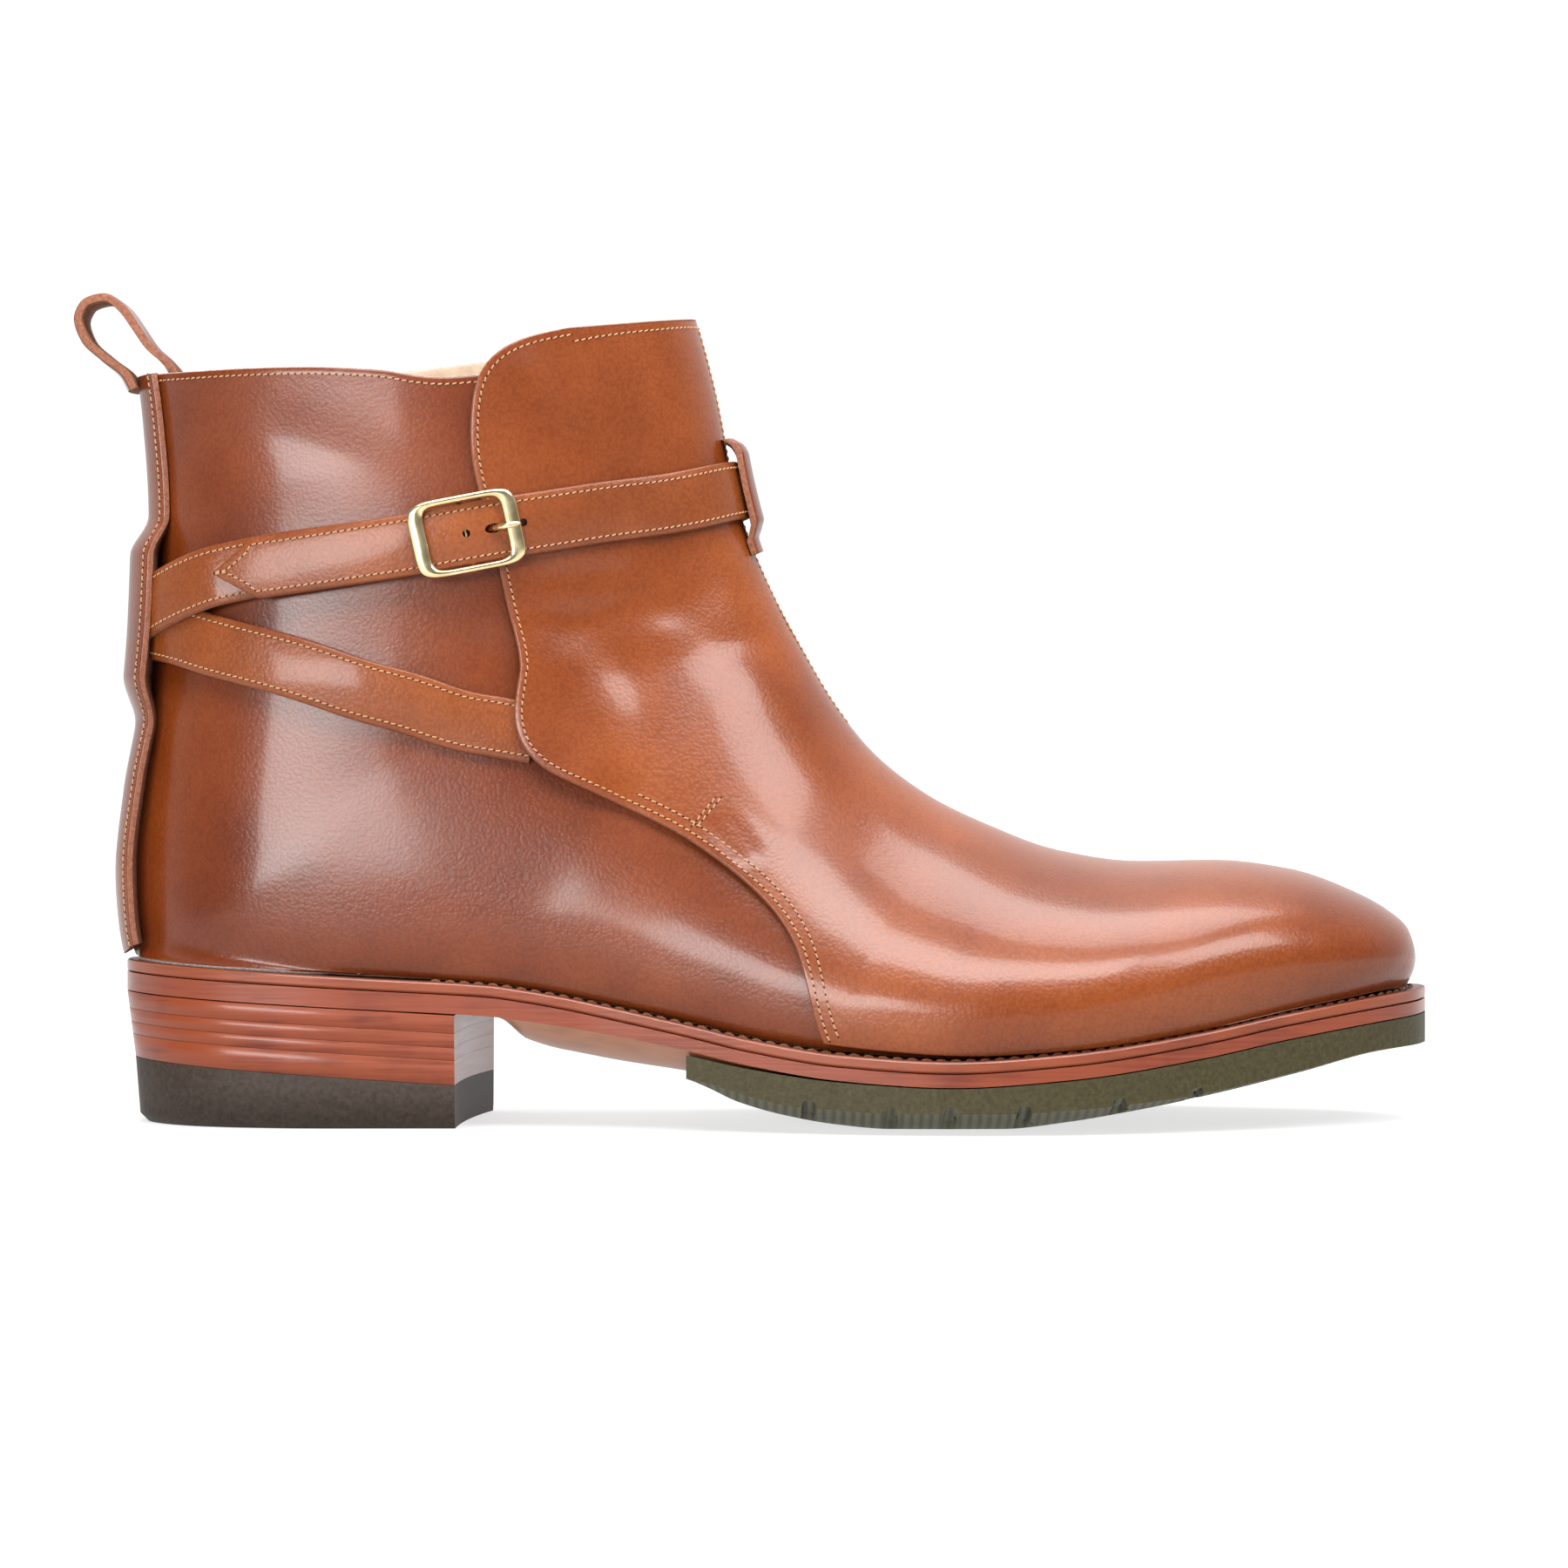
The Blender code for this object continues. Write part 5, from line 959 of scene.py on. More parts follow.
# Buckle: a cast brass frame with rounded corners, a bar under the strap and a prong that
# comes up through a punched hole and rests on the front of the frame.
BUCKLE_LENGTH = 0.0244
BUCKLE_END_BAR = 0.0034
BUCKLE_SIDE_BAR = 0.0015
BUCKLE_WALL = 0.0020
BUCKLE_ROOM = 0.0004
BUCKLE_AHEAD = 0.0022
CENTRE_BAR_RADIUS = 0.0008
PRONG_RADIUS = 0.0007
STRAP_HOLE_RADIUS = 0.0009
STRAP_HOLE_PITCH = 0.0130
BAR_LIFT = SEAT_GAP + CENTRE_BAR_RADIUS + 2.0 * GAP
FRAME_LIFT = BAR_LIFT + CENTRE_BAR_RADIUS + 2.0 * GAP + STRAP_WALL + GAP
OUTER_CORNERS = 6.0
INNER_CORNERS = 7.0
CORNER_CROWDING = 0.22
BAR_STEPS = 24
PRONG_STEPS = 26
PUNCH_SIDES = 20
PUNCH_DEPTH = 0.012
PRONG_SLOT = (0.0040, 0.0022)

# The prong's side view: shares of half the buckle's length and of the frame's top.
PRONG_ROUTE = ((0.41, 0.40), (0.46, 0.56), (0.54, 0.80), (0.64, 1.04), (0.75, 1.14), (0.98, 1.13))

buckle_row, buckle_turn, _, buckle_forward, buckle_across, _ = strap_path(BUCKLE_STRAP[::-1], 200)


def on_buckle(along, across, lift):
    """A point along and across the strap from the buckle's middle, and over the upper."""
    along = np.asarray(along, dtype=float) + BUCKLE_AHEAD
    offset = (along[..., None] * buckle_forward[-1]
              + np.asarray(across, dtype=float)[..., None] * buckle_across[-1])
    at_row, at_turn = slide(np.full(offset.shape[:-1], buckle_row[-1]),
                            np.full(offset.shape[:-1], buckle_turn[-1]), offset)
    return skin(at_row, at_turn) + skin_normal(at_row, at_turn) * np.broadcast_to(
        lift, at_row.shape)[..., None]


def rounded_outline(half_length, half_height, exponent, angles):
    """Superellipse: half * sign(cos) |cos|^(2/n), and the same with sin."""
    cosine, sine = np.cos(angles), np.sin(angles)
    power = 2.0 / exponent
    return (half_length * np.sign(cosine) * np.abs(cosine) ** power,
            half_height * np.sign(sine) * np.abs(sine) ** power)


def brass(name):
    """Pale polished brass: a fine noise gives the tarnish, the gloss and a faint bump."""
    made, tree, shader = blank_material(name, {"Metallic": 1.0})
    tarnish = noise(tree, object_place(tree), 260.0, 5.0)
    tone = ramp(tree, tarnish, ((0.35, (0.70, 0.56, 0.30)), (0.65, (0.83, 0.71, 0.43))))
    surfaced(tree, shader, tone, tarnish, 0.05, 0.0002, (tarnish, 0.10, 0.26))
    return made


BRASS = brass("brass")


def tube(name, path, radii, material, nodes=(), sides=16):
    """A round bar with flat ends: a circle carried along the path by its tangent."""
    path = np.asarray(path)
    tangent = unit(np.gradient(path, axis=0))
    side = unit(np.cross(tangent, (0.0, 0.0, 1.0)))
    up = np.cross(side, tangent)
    angle = np.linspace(0.0, 2.0 * math.pi, sides, endpoint=False)
    ring = (np.cos(angle)[None, :, None] * side[:, None, :]
            + np.sin(angle)[None, :, None] * up[:, None, :])
    points = path[:, None, :] + ring * np.asarray(radii)[:, None, None]
    count = len(path) * sides
    points = np.concatenate([points.reshape(-1, 3), path[:1], path[-1:]])
    last = count - sides
    faces = closed_grid(len(path), sides)[:, ::-1].tolist()
    faces += [(count, index, (index + 1) % sides) for index in range(sides)]
    faces += [(count + 1, last + (index + 1) % sides, last + index) for index in range(sides)]
    return piece(name, points, faces, (material,), nodes)


inner_height = STRAP_WIDTH / 2.0 + BUCKLE_ROOM
even = np.linspace(0.0, 2.0 * math.pi, 128, endpoint=False)
angles = even - CORNER_CROWDING * np.sin(4.0 * even)
outer_ring, inner_ring = [
    np.array(rounded_outline(half_length, half_height, exponent, angles))
    for half_length, half_height, exponent in (
        (BUCKLE_LENGTH / 2.0, inner_height + BUCKLE_SIDE_BAR, OUTER_CORNERS),
        (BUCKLE_LENGTH / 2.0 - BUCKLE_END_BAR, inner_height, INNER_CORNERS))]
rings = []
for step in np.linspace(0.0, 2.0 * math.pi, 20, endpoint=False):
    mix = 0.5 - 0.5 * math.copysign(abs(math.cos(step)) ** 0.7, math.cos(step))
    share = 0.5 + 0.5 * math.copysign(abs(math.sin(step)) ** 0.8, math.sin(step))
    rings.append(on_buckle(*(outer_ring * (1.0 - mix) + inner_ring * mix), FRAME_LIFT + share * BUCKLE_WALL))
piece("shown_buckle_frame", np.concatenate(rings), closed_grid(len(rings), len(even), wrap_rows=True),
      (BRASS,), ["buckle_frame"], smooth=60.0)
bar_half = inner_height + BUCKLE_SIDE_BAR / 2.0
bar_across = bar_half * np.sin(np.linspace(-1.0, 1.0, BAR_STEPS) * math.pi / 2.0)
bar_lift = BAR_LIFT + (FRAME_LIFT + BUCKLE_WALL / 2.0 - BAR_LIFT) * (np.abs(bar_across) / bar_half) ** 14
tube("centre_bar", on_buckle(np.zeros(BAR_STEPS), bar_across, bar_lift),
     np.full(BAR_STEPS, CENTRE_BAR_RADIUS), BRASS)
prong_at = np.linspace(PRONG_ROUTE[0][0], PRONG_ROUTE[-1][0], PRONG_STEPS)
prong_lift = smooth_curve(*np.transpose(PRONG_ROUTE), prong_at)
prong_path = on_buckle(prong_at * BUCKLE_LENGTH / 2.0, np.zeros(PRONG_STEPS),
                       prong_lift * (FRAME_LIFT + BUCKLE_WALL))
prong_radii = PRONG_RADIUS * np.clip((1.0 - np.linspace(0.0, 1.0, PRONG_STEPS) ** 8) ** 0.5, 0.25, 1.0)
tube("shown_buckle_prong", prong_path, prong_radii, BRASS, ["buckle_prong"])

# The prong's slot and two round holes are punched right through the long strap.
punch_angle = np.linspace(0.0, 2.0 * math.pi, PUNCH_SIDES, endpoint=False)
punch_points, punch_faces = [], []
hole_size = (2.0 * STRAP_HOLE_RADIUS, 2.0 * STRAP_HOLE_RADIUS)
for along, (length, width) in ((BUCKLE_LENGTH / 4.0, PRONG_SLOT), (0.0, hole_size),
                               (STRAP_HOLE_PITCH, hole_size)):
    middle = on_buckle(along, 0.0, FRAME_LIFT)
    side = unit(on_buckle(along, 0.001, FRAME_LIFT) - middle)
    ahead = unit(on_buckle(along + 0.001, 0.0, FRAME_LIFT) - middle)
    ring = (middle + np.cos(punch_angle)[:, None] * ahead * length / 2.0
            + np.sin(punch_angle)[:, None] * side * width / 2.0)
    deep = np.cross(ahead, side) * PUNCH_DEPTH / 2.0
    first = len(punch_points) * PUNCH_SIDES
    punch_points += [ring - deep, ring + deep]
    low = list(range(first, first + PUNCH_SIDES))
    high = list(range(first + PUNCH_SIDES, first + 2 * PUNCH_SIDES))
    punch_faces += [low[::-1], high]
    punch_faces += [(low[i - 1], low[i], high[i], high[i - 1]) for i in range(PUNCH_SIDES)]
carve(long_strap, np.concatenate(punch_points), punch_faces)


# Keeper: a short band down the front seam that the long strap passes under.
KEEPER_WALL = 0.0018
KEEPER_WIDTH = 0.0105
KEEPER_ROOM = 0.0012
KEEPER_EDGE = 0.00050
KEEPER_STEPS = 60
KEEPER_RISE = 0.02

# The keeper from its top to its foot: share of the upper's height on the front seam, and
# how far it stands out there, from 0 on the panel to 1 over the strap.
KEEPER_ROUTE = (
    (0.849, 0.0), (0.846, 0.25), (0.838, 0.75), (0.826, 1.0), (0.775, 1.0), (0.742, 0.95),
    (0.730, 0.55), (0.718, 0.05), (0.703, 0.0),
)
keeper_route = np.array(KEEPER_ROUTE) * (1.0, KEEPER_RISE)
keeper_route = even_steps(keeper_route, keeper_route, KEEPER_STEPS) / (1.0, KEEPER_RISE)
keeper_rows = np.interp(keeper_route[:, 0], row_value("ridge_z", leg_rows), leg_rows)
keeper_lift = (PANEL_GAP + PANEL_WALL + GAP
               + np.clip(keeper_route[:, 1], 0.0, 1.0) * (STRAP_WALL + GAP + KEEPER_ROOM))


def keeper_place(across, height):
    """A line down the keeper at a distance from the front seam."""
    offset = across[:, None] * np.array([0.0, 1.0, 0.0])
    at_row, at_turn = slide(keeper_rows, np.full(KEEPER_STEPS, 1e-4), offset)
    return lifted(at_row, at_turn, keeper_lift + height)


strip("shown_keeper", keeper_place, np.full(KEEPER_STEPS, KEEPER_WIDTH / 2.0), KEEPER_WALL, KEEPER_EDGE,
      (CALF, CUT_EDGE, CUT_EDGE), ["keeper"])


# Seams: rows of beige lockstitch, each stitch sunk at both ends into a pinhole drawn as a near-black lens on
# the leather, painted shade for the hole.
STITCH_PITCH = 0.00165
STITCH_LENGTH = 0.00130
STITCH_RADIUS = 0.00021
HOLE_RADIUS = 0.00027
HOLE_CROWN = 0.00004
HOLE_DEPTH = 0.0002
STITCH_SLANT = 0.00013
SEAM_INSET = 0.0016
STRAP_SEAM_INSET = 0.0015
POINT_SEAM_SHARE = 1.6
LEAST_SEAM_REACH = 0.0002
ROW_SPACING = 0.0022
SECOND_ROW_START = 170
FRONT_SEAM_ROWS = (26.7, 11.6)
FRONT_SEAM_HALF = 0.0017
TACK_FOOT = (0.0905, 0.0690)
TACK_HEAD = (0.0958, 0.0755)
TACK_SPACING = 0.0013
COLLAR_SEAM_END = 0.985
STAY_SEAM_SHARE = 0.88
THREAD = fibrous("thread", (0.30, 0.145, 0.066), (0.50, 0.29, 0.155), 0.65, 2200.0, 0.5)
WELT_THREAD = fibrous("welt_thread", (0.11, 0.034, 0.014), (0.21, 0.080, 0.036), 0.6, 2200.0, 0.5)
# Pinholes: a near-black lens on the leather's face, painted shade standing in for the dark inside each hole.
PINHOLE_SHADE = fibrous("pinhole", (0.020, 0.006, 0.003), (0.045, 0.014, 0.007), 0.9, 900.0, 0.1)


def seam_frames(points, normals, arcs):
    """Place, tangent, normal and sideways direction at distances along a seam."""
    place, normal, tangent = [read_at(arcs, lengths_along(points), table)
                              for table in (points, normals, np.gradient(points, axis=0))]
    normal, tangent = unit(normal), unit(tangent)
    return place, tangent, normal, unit(np.cross(normal, tangent))


def repeated(faces, shapes):
    """The faces of one shape, numbered on for each of the shapes."""
    faces = np.array(faces)
    starts = np.arange(len(shapes)) * shapes.shape[1]
    return (starts[:, None, None] + faces[None]).reshape(-1, faces.shape[1])


def stitch_rows(name, seams, pitch=STITCH_PITCH, length=STITCH_LENGTH, radius=STITCH_RADIUS,
                hole=HOLE_RADIUS, thread=THREAD):
    """Joined stitches and pinholes; each pinhole is a near-black lens, painted shade for the hole. A stitch
    is a six-sided tube with the radius r * (1 - 0.6 s^4) for s from -1 to 1, raised by r * (0.75 - 1.9 s^4)
    over the leather."""
    along = np.array([-1.0, -0.75, 0.0, 0.75, 1.0])
    rings, sides = len(along), 6
    around = rings * sides
    angle = np.linspace(0.0, 2.0 * math.pi, sides, endpoint=False)
    thread_points, hole_points = [], []
    for points, normals in seams:
        whole = float(lengths_along(points)[-1])
        count = max(int(whole / pitch), 1)
        middles = (np.arange(count) + 0.5) * whole / count
        arcs = (middles[:, None] + along[None, :] * length / 2.0).ravel()
        place, _, normal, across = seam_frames(points, normals, arcs)
        bend = np.tile(along, count)
        thick = radius * (1.0 - 0.6 * bend ** 4)
        core = (place + normal * (radius * (0.75 - 1.9 * bend ** 4))[:, None]
                + across * (STITCH_SLANT * bend)[:, None])
        ring = (np.cos(angle)[None, :, None] * normal[:, None, :]
                + np.sin(angle)[None, :, None] * across[:, None, :])
        tubes = (core[:, None, :] + ring * thick[:, None, None]).reshape(count, around, 3)
        ends = core.reshape(count, rings, 3)[:, [0, -1], :]
        thread_points.append(np.concatenate([tubes, ends], axis=1))
        # Each pinhole lens, crowned just above the face, carries painted shade for the hole.
        place, tangent, normal, across = seam_frames(points, normals, np.arange(count + 1) * whole / count)
        disc = (place[:, None, :] + hole * np.cos(angle)[None, :, None] * tangent[:, None, :]
                + hole * np.sin(angle)[None, :, None] * across[:, None, :])
        poles = np.stack([place + normal * HOLE_CROWN, place - normal * HOLE_DEPTH], axis=1)
        hole_points.append(np.concatenate([disc, poles], axis=1))
    thread_points, hole_points = np.concatenate(thread_points), np.concatenate(hole_points)
    last = around - sides
    caps = [(around, index, (index + 1) % sides) for index in range(sides)]
    caps += [(around + 1, last + (index + 1) % sides, last + index) for index in range(sides)]
    lens = [(sides, index, (index + 1) % sides) for index in range(sides)]
    lens += [(sides + 1, (index + 1) % sides, index) for index in range(sides)]
    quads = repeated(closed_grid(rings, sides), thread_points)[:, ::-1].tolist()
    piece(name, thread_points.reshape(-1, 3), quads + repeated(caps, thread_points).tolist(), (thread,))
    # The lenses of painted shade for the pinholes.
    piece(name + "_painted_hole_shade", hole_points.reshape(-1, 3), repeated(lens, hole_points), (PINHOLE_SHADE,))


def panel_seam(row, turn):
    """A seam's points on the panel's face and their normals."""
    return on_panel(row, turn), skin_normal(row, turn)


def inside_edge(line, inset, panel=True):
    """A seam line set in from an edge line of rows and turns, on the panel or the upper."""
    row, turn = line[:, 0], line[:, 1]
    tangent = unit(np.gradient(skin(row, turn), axis=0))
    across = unit(np.cross(skin_normal(row, turn), tangent))
    at_row, at_turn = slide(row, turn, across * inset)
    if panel:
        return panel_seam(at_row, at_turn)
    return lifted(at_row, at_turn, 0.0), skin_normal(at_row, at_turn)


outer_edge = panel_line(-1.0, PANEL_EDGE_OUTER, PANEL_STEPS)
inner_edge = panel_line(1.0, PANEL_EDGE_INNER, PANEL_STEPS)
top_turns = np.linspace(outer_edge[0, 1], inner_edge[0, 1], 60)
flap_top = np.stack([collar_row(top_turns), top_turns], axis=-1)
panel_seams = [inside_edge(outer_edge, SEAM_INSET), inside_edge(inner_edge, -SEAM_INSET),
               inside_edge(outer_edge[SECOND_ROW_START:], SEAM_INSET + ROW_SPACING),
               inside_edge(inner_edge[SECOND_ROW_START:], -SEAM_INSET - ROW_SPACING),
               inside_edge(flap_top, -SEAM_INSET)]
seam_row = np.linspace(*FRONT_SEAM_ROWS, 200)
for inset in (-FRONT_SEAM_HALF, FRONT_SEAM_HALF):
    at_row, at_turn = slide(seam_row, np.full(200, 1e-4), np.array([0.0, inset, 0.0]))
    panel_seams.append(panel_seam(at_row, at_turn))
for shift in (0.0, TACK_SPACING):
    tack = np.linspace(*[find_on_skin(-1, x + shift, z) for x, z in (TACK_FOOT, TACK_HEAD)], 12)
    panel_seams.append(panel_seam(tack[:, 0], tack[:, 1]))
stitch_rows("panel_seams", panel_seams)

quarter_seams = []
for start, end in ((-COLLAR_SEAM_END, outer_line[5, 1] - 0.01), (inner_edge[0, 1] + 0.01, COLLAR_SEAM_END)):
    collar_turns = np.linspace(start, end, 90)
    quarter_top = np.stack([collar_row(collar_turns), collar_turns], axis=-1)
    quarter_seams.append(inside_edge(quarter_top, -SEAM_INSET, panel=False))
stay_height = np.full(STAY_STEPS, STAY_WALL)
for share in (-STAY_SEAM_SHARE, STAY_SEAM_SHARE):
    quarter_seams.append((stay_place(share * STAY_HALF, stay_height),
                          skin_normal(STAY_ROWS, 1.0 - 0.12 * np.sign(share))))
stitch_rows("quarter_seams", quarter_seams)

strap_seams = []
for half, place in ((LONG_HALF, long_place), (SHORT_HALF, short_place)):
    for side in (-1.0, 1.0):
        set_in = STRAP_SEAM_INSET * np.where(half < 0.49 * STRAP_WIDTH, POINT_SEAM_SHARE, 1.0)
        across = side * np.maximum(half - set_in, LEAST_SEAM_REACH)
        strap_seams.append(place(across, np.full(len(half), STRAP_WALL), normals=True))
stitch_rows("strap_seams", strap_seams)


# Bottom: the welt, the leather sole with its rounded waist, the rubber forepart that lies
# flat under the ball, and the insole that is seen through the collar.
WELT_WALL = 0.0028
WELT_REACH = 0.0066
WELT_MARGIN = 0.0060
LEATHER_AT_HEEL = 0.0041
LEATHER_AT_FOREPART = 0.0028
WAIST_BULGE = 0.0074
FOREPART_THINS = (0.29, 0.45)
FLAT_SHARE = 0.55
INSOLE_WALL = 0.0030
INSOLE_INSET = 0.0016
INSOLE_BACK_START = 0.008
INSOLE_BACK_LENGTH = 0.022
RUBBER_START = 0.4412
RUBBER_LEAST = 0.0008
GROOVES = (0.534, 0.596, 0.640, 0.695, 0.767, 0.826)
GROOVE_WIDTH = 0.0026
GROOVE_DEPTH = 0.0016
GROOVE_SLOPE = 0.0004
GROOVE_REACH = 0.62
LOOP_COUNT = 720
WELT_ROUND = 0.0006
OUTSOLE_ROUND = 0.0005
RUBBER_ROUND = 0.0003
INSOLE_ROUND = 0.0004
WELT_SEAM_SHARE = 0.56
WELT_SEAM_START = 0.030

# The rubber's underside along its length: height at the middle and extra height at the
# edge, both shares of SEAT_HEIGHT.
RUBBER_COLUMNS = ("along", "floor", "edge")
RUBBER = (
    (0.440, 0.318, 0.02),
    (0.458, 0.250, 0.06),
    (0.480, 0.165, 0.09),
    (0.516, 0.082, 0.10),
    (0.556, 0.026, 0.13),
    (0.596, 0.000, 0.14),
    (0.682, 0.000, 0.14),
    (0.731, 0.042, 0.12),
    (0.780, 0.108, 0.09),
    (0.843, 0.212, 0.055),
    (0.910, 0.338, 0.045),
    (0.972, 0.460, 0.03),
    (1.030, 0.512, 0.00),
)


def streaked(name, dark, light, fibre_scale, roughness=0.34, coat=0.35):
    """Edge of sole leather, dyed and waxed: fibres drawn out along the boot give the bump
    and the gloss, and with slow blotches the tone."""
    made, tree, shader = blank_material(name, {"Coat Weight": coat, "Coat Roughness": 0.18,
                                               "Specular IOR Level": 0.28})
    where = object_place(tree)
    drawn = add(tree, "ShaderNodeMapping", {"Vector": where, "Scale": fibre_scale})
    fibre = noise(tree, drawn.outputs[0], 1.0, 5.0)
    blotch = noise(tree, where, 55.0, 4.0)
    both = add(tree, "ShaderNodeMath", {0: fibre, 1: 0.9, 2: blotch}, operation="MULTIPLY_ADD")
    tone = ramp(tree, both.outputs[0], ((0.66, dark), (1.22, light)))
    surfaced(tree, shader, tone, fibre, 0.22, 0.0003, (fibre, roughness - 0.08, roughness + 0.12))
    return made


def tread_rubber(name, dark, light, pitch):
    """Rubber with a fine cross tread: sine bands along the boot, worn by a noise."""
    made, tree, shader = blank_material(name, {"Roughness": 0.62, "Specular IOR Level": 0.35})
    where = object_place(tree)
    bands = add(tree, "ShaderNodeTexWave", {"Vector": where, "Scale": 0.314 / pitch, "Distortion": 0.4})
    wear = noise(tree, where, 500.0, 4.0)
    both = add(tree, "ShaderNodeMath", {0: wear, 1: 0.5, 2: bands.outputs["Fac"]},
               operation="MULTIPLY_ADD")
    tone = ramp(tree, both.outputs[0], ((0.2, dark), (1.2, light)))
    surfaced(tree, shader, tone, both.outputs[0], 0.7, BUMP_DISTANCE)
    return made


WELT_EDGE = streaked("welt_edge", (0.12, 0.020, 0.005), (0.19, 0.038, 0.011), (60.0, 60.0, 1500.0))
WELT_TOP = calf("welt_top", (0.050, 0.0095, 0.0035), (0.078, 0.016, 0.006), (0.105, 0.025, 0.010), 0.5, 0.2)
SOLE_EDGE = streaked("sole_edge", (0.105, 0.014, 0.0038), (0.175, 0.031, 0.0085), (45.0, 45.0, 1500.0))
WAIST = streaked("waist", (0.22, 0.070, 0.024), (0.33, 0.125, 0.050), (120.0, 300.0, 300.0), 0.42, 0.2)
RUBBER_EDGE = fibrous("sole_rubber", (0.026, 0.021, 0.0085), (0.054, 0.045, 0.0185), 0.55, 900.0, 0.25)
TREAD = tread_rubber("tread", (0.030, 0.028, 0.012), (0.080, 0.074, 0.030), 0.0022)
INSOLE = fibrous("insole_leather", (0.30, 0.19, 0.11), (0.41, 0.28, 0.18), 0.65, 320.0, 0.2)


def rubber_value(column, x):
    """A column of RUBBER, read by the cubic at distances along the boot, as a height."""
    along = [place[0] for place in RUBBER]
    values = [place[RUBBER_COLUMNS.index(column)] for place in RUBBER]
    return SEAT_HEIGHT * smooth_curve(along, values, share_along(x))


def feather_loop():
    """The feather line in plan at even steps, out along the outer side and home along the
    inner side, smoothed by a mean over nine steps."""
    rows = np.linspace(HEEL_ROW, 0.0, 600)
    x = place_along(row_value("end_x", rows))
    outer = -row_value("foot_outer", rows) * BALL_WIDTH
    inner = row_value("foot_inner", rows) * BALL_WIDTH
    loop = np.concatenate([np.stack([x, outer], axis=-1),
                           np.stack([x[::-1], inner[::-1]], axis=-1)[:-1]])
    closed = np.concatenate([loop, loop[:1]])
    lengths = lengths_along(closed)
    even_loop = read_at(np.linspace(0.0, lengths[-1], LOOP_COUNT, endpoint=False), lengths, closed)
    window = range(-4, 5)
    return sum(np.roll(even_loop, shift, axis=0) for shift in window) / len(window)


def plan_loop(reach_share, extra):
    """The feather line moved out by reach share * the welt's reach + an extra width."""
    loop = feather_loop()
    along = unit(np.roll(loop, -2, axis=0) - np.roll(loop, 2, axis=0))
    outwards = np.stack([along[:, 1], -along[:, 0]], axis=-1)
    outer_side = np.arange(len(loop)) < np.argmax(loop[:, 0])
    reach = WELT_REACH * np.where(outer_side, bottom_value("outer", loop[:, 0]),
                                  bottom_value("inner", loop[:, 0]))
    extra = extra(loop[:, 0]) if callable(extra) else extra
    return loop + outwards * (reach * reach_share + extra)[:, None]


def edges(reach_share, extra, count, start=None, end=None):
    """Both edges of a plan outline, from its heel or start to its toe or end."""
    loop = plan_loop(reach_share, extra)
    loop = np.roll(loop, -int(np.argmin(loop[:, 0])), axis=0)
    toe = int(np.argmax(loop[:, 0]))
    sides = []
    for line in (loop[:toe + 1], np.concatenate([loop[toe:], loop[:1]])[::-1]):
        lengths = lengths_along(line)
        low = np.interp(start, line[:, 0], lengths) if start is not None else 0.0
        high = np.interp(end, line[:, 0], lengths) if end is not None else lengths[-1]
        sides.append(read_at(low + (high - low) * np.linspace(0.0, 1.0, count), lengths, line))
    return sides


def leather_top(x):
    """Height of the sole's top: the welt's top less its wall and a gap."""
    return welt_top(x) - WELT_WALL - GAP


def leather_edge(x):
    """Underside of the leather sole at its edge, thinner in the forepart."""
    start, end = [place_along(share) for share in FOREPART_THINS]
    forward = faded(np.asarray(x) - start, end - start)
    forward = forward * forward * (3.0 - 2.0 * forward)
    return leather_top(x) - LEATHER_AT_HEEL - (LEATHER_AT_FOREPART - LEATHER_AT_HEEL) * forward


def leather_bottom(x, across):
    """Underside of the sole: edge - bulge * (1 - |across|^2.2)."""
    bulge = WAIST_BULGE * bottom_value("bulge", x)
    return leather_edge(x) - bulge * (1.0 - np.abs(across) ** 2.2)


def rubber_top(x, across):
    """Follows the leather sole, a little freer where that is rounded."""
    return leather_bottom(x, across) - GAP * (1.0 + 3.0 * bottom_value("bulge", x))


def rubber_bottom(x, across):
    """Flat in the middle, turned up towards both edges by edge * share^1.6, and cut by the
    short grooves."""
    turned = faded(np.abs(across) - FLAT_SHARE, 1.0 - FLAT_SHARE)
    low = rubber_value("floor", x) + rubber_value("edge", x) * turned ** 1.6
    for groove in GROOVES:
        from_middle = np.abs(x - place_along(groove))
        cut = faded(GROOVE_WIDTH / 2.0 + GROOVE_SLOPE - from_middle, GROOVE_SLOPE)
        low = low + GROOVE_DEPTH * cut * (np.abs(across) > GROOVE_REACH)
    return np.minimum(low, rubber_top(x, across) - RUBBER_LEAST)


def plate(name, outer, inner, top, bottom, edge, materials, nodes):
    """A closed plate between two heights over the ground between two plan edges. Its
    faces are top, underside and rim; its rims are rounded over by the edge's width."""
    across = np.linspace(-1.0, 1.0, 25)
    mix = (across[None, :, None] + 1.0) / 2.0
    plan = outer[:, None, :] * (1.0 - mix) + inner[:, None, :] * mix
    share = np.broadcast_to(across, plan.shape[:2])
    high, low = [np.dstack([plan, np.broadcast_to(height(plan[..., 0], share), share.shape)])
                 for height in (top, bottom)]
    count = share.size
    corners = np.arange(count).reshape(share.shape)
    face = grid_faces(*share.shape)
    rim = np.concatenate([corners[:, 0], corners[-1, 1:], corners[-2::-1, -1], corners[0, -2:0:-1]])
    after = np.roll(rim, -1)
    side = np.stack([after, rim, rim + count, after + count], axis=-1)
    kinds = np.repeat((0, 1, 2), (len(face), len(face), len(side)))
    made = piece(name, np.concatenate([high.reshape(-1, 3), low.reshape(-1, 3)]),
                 np.concatenate([face, face[:, ::-1] + count, side]), materials, nodes, kinds)
    round_edges(made, edge, 50.0)


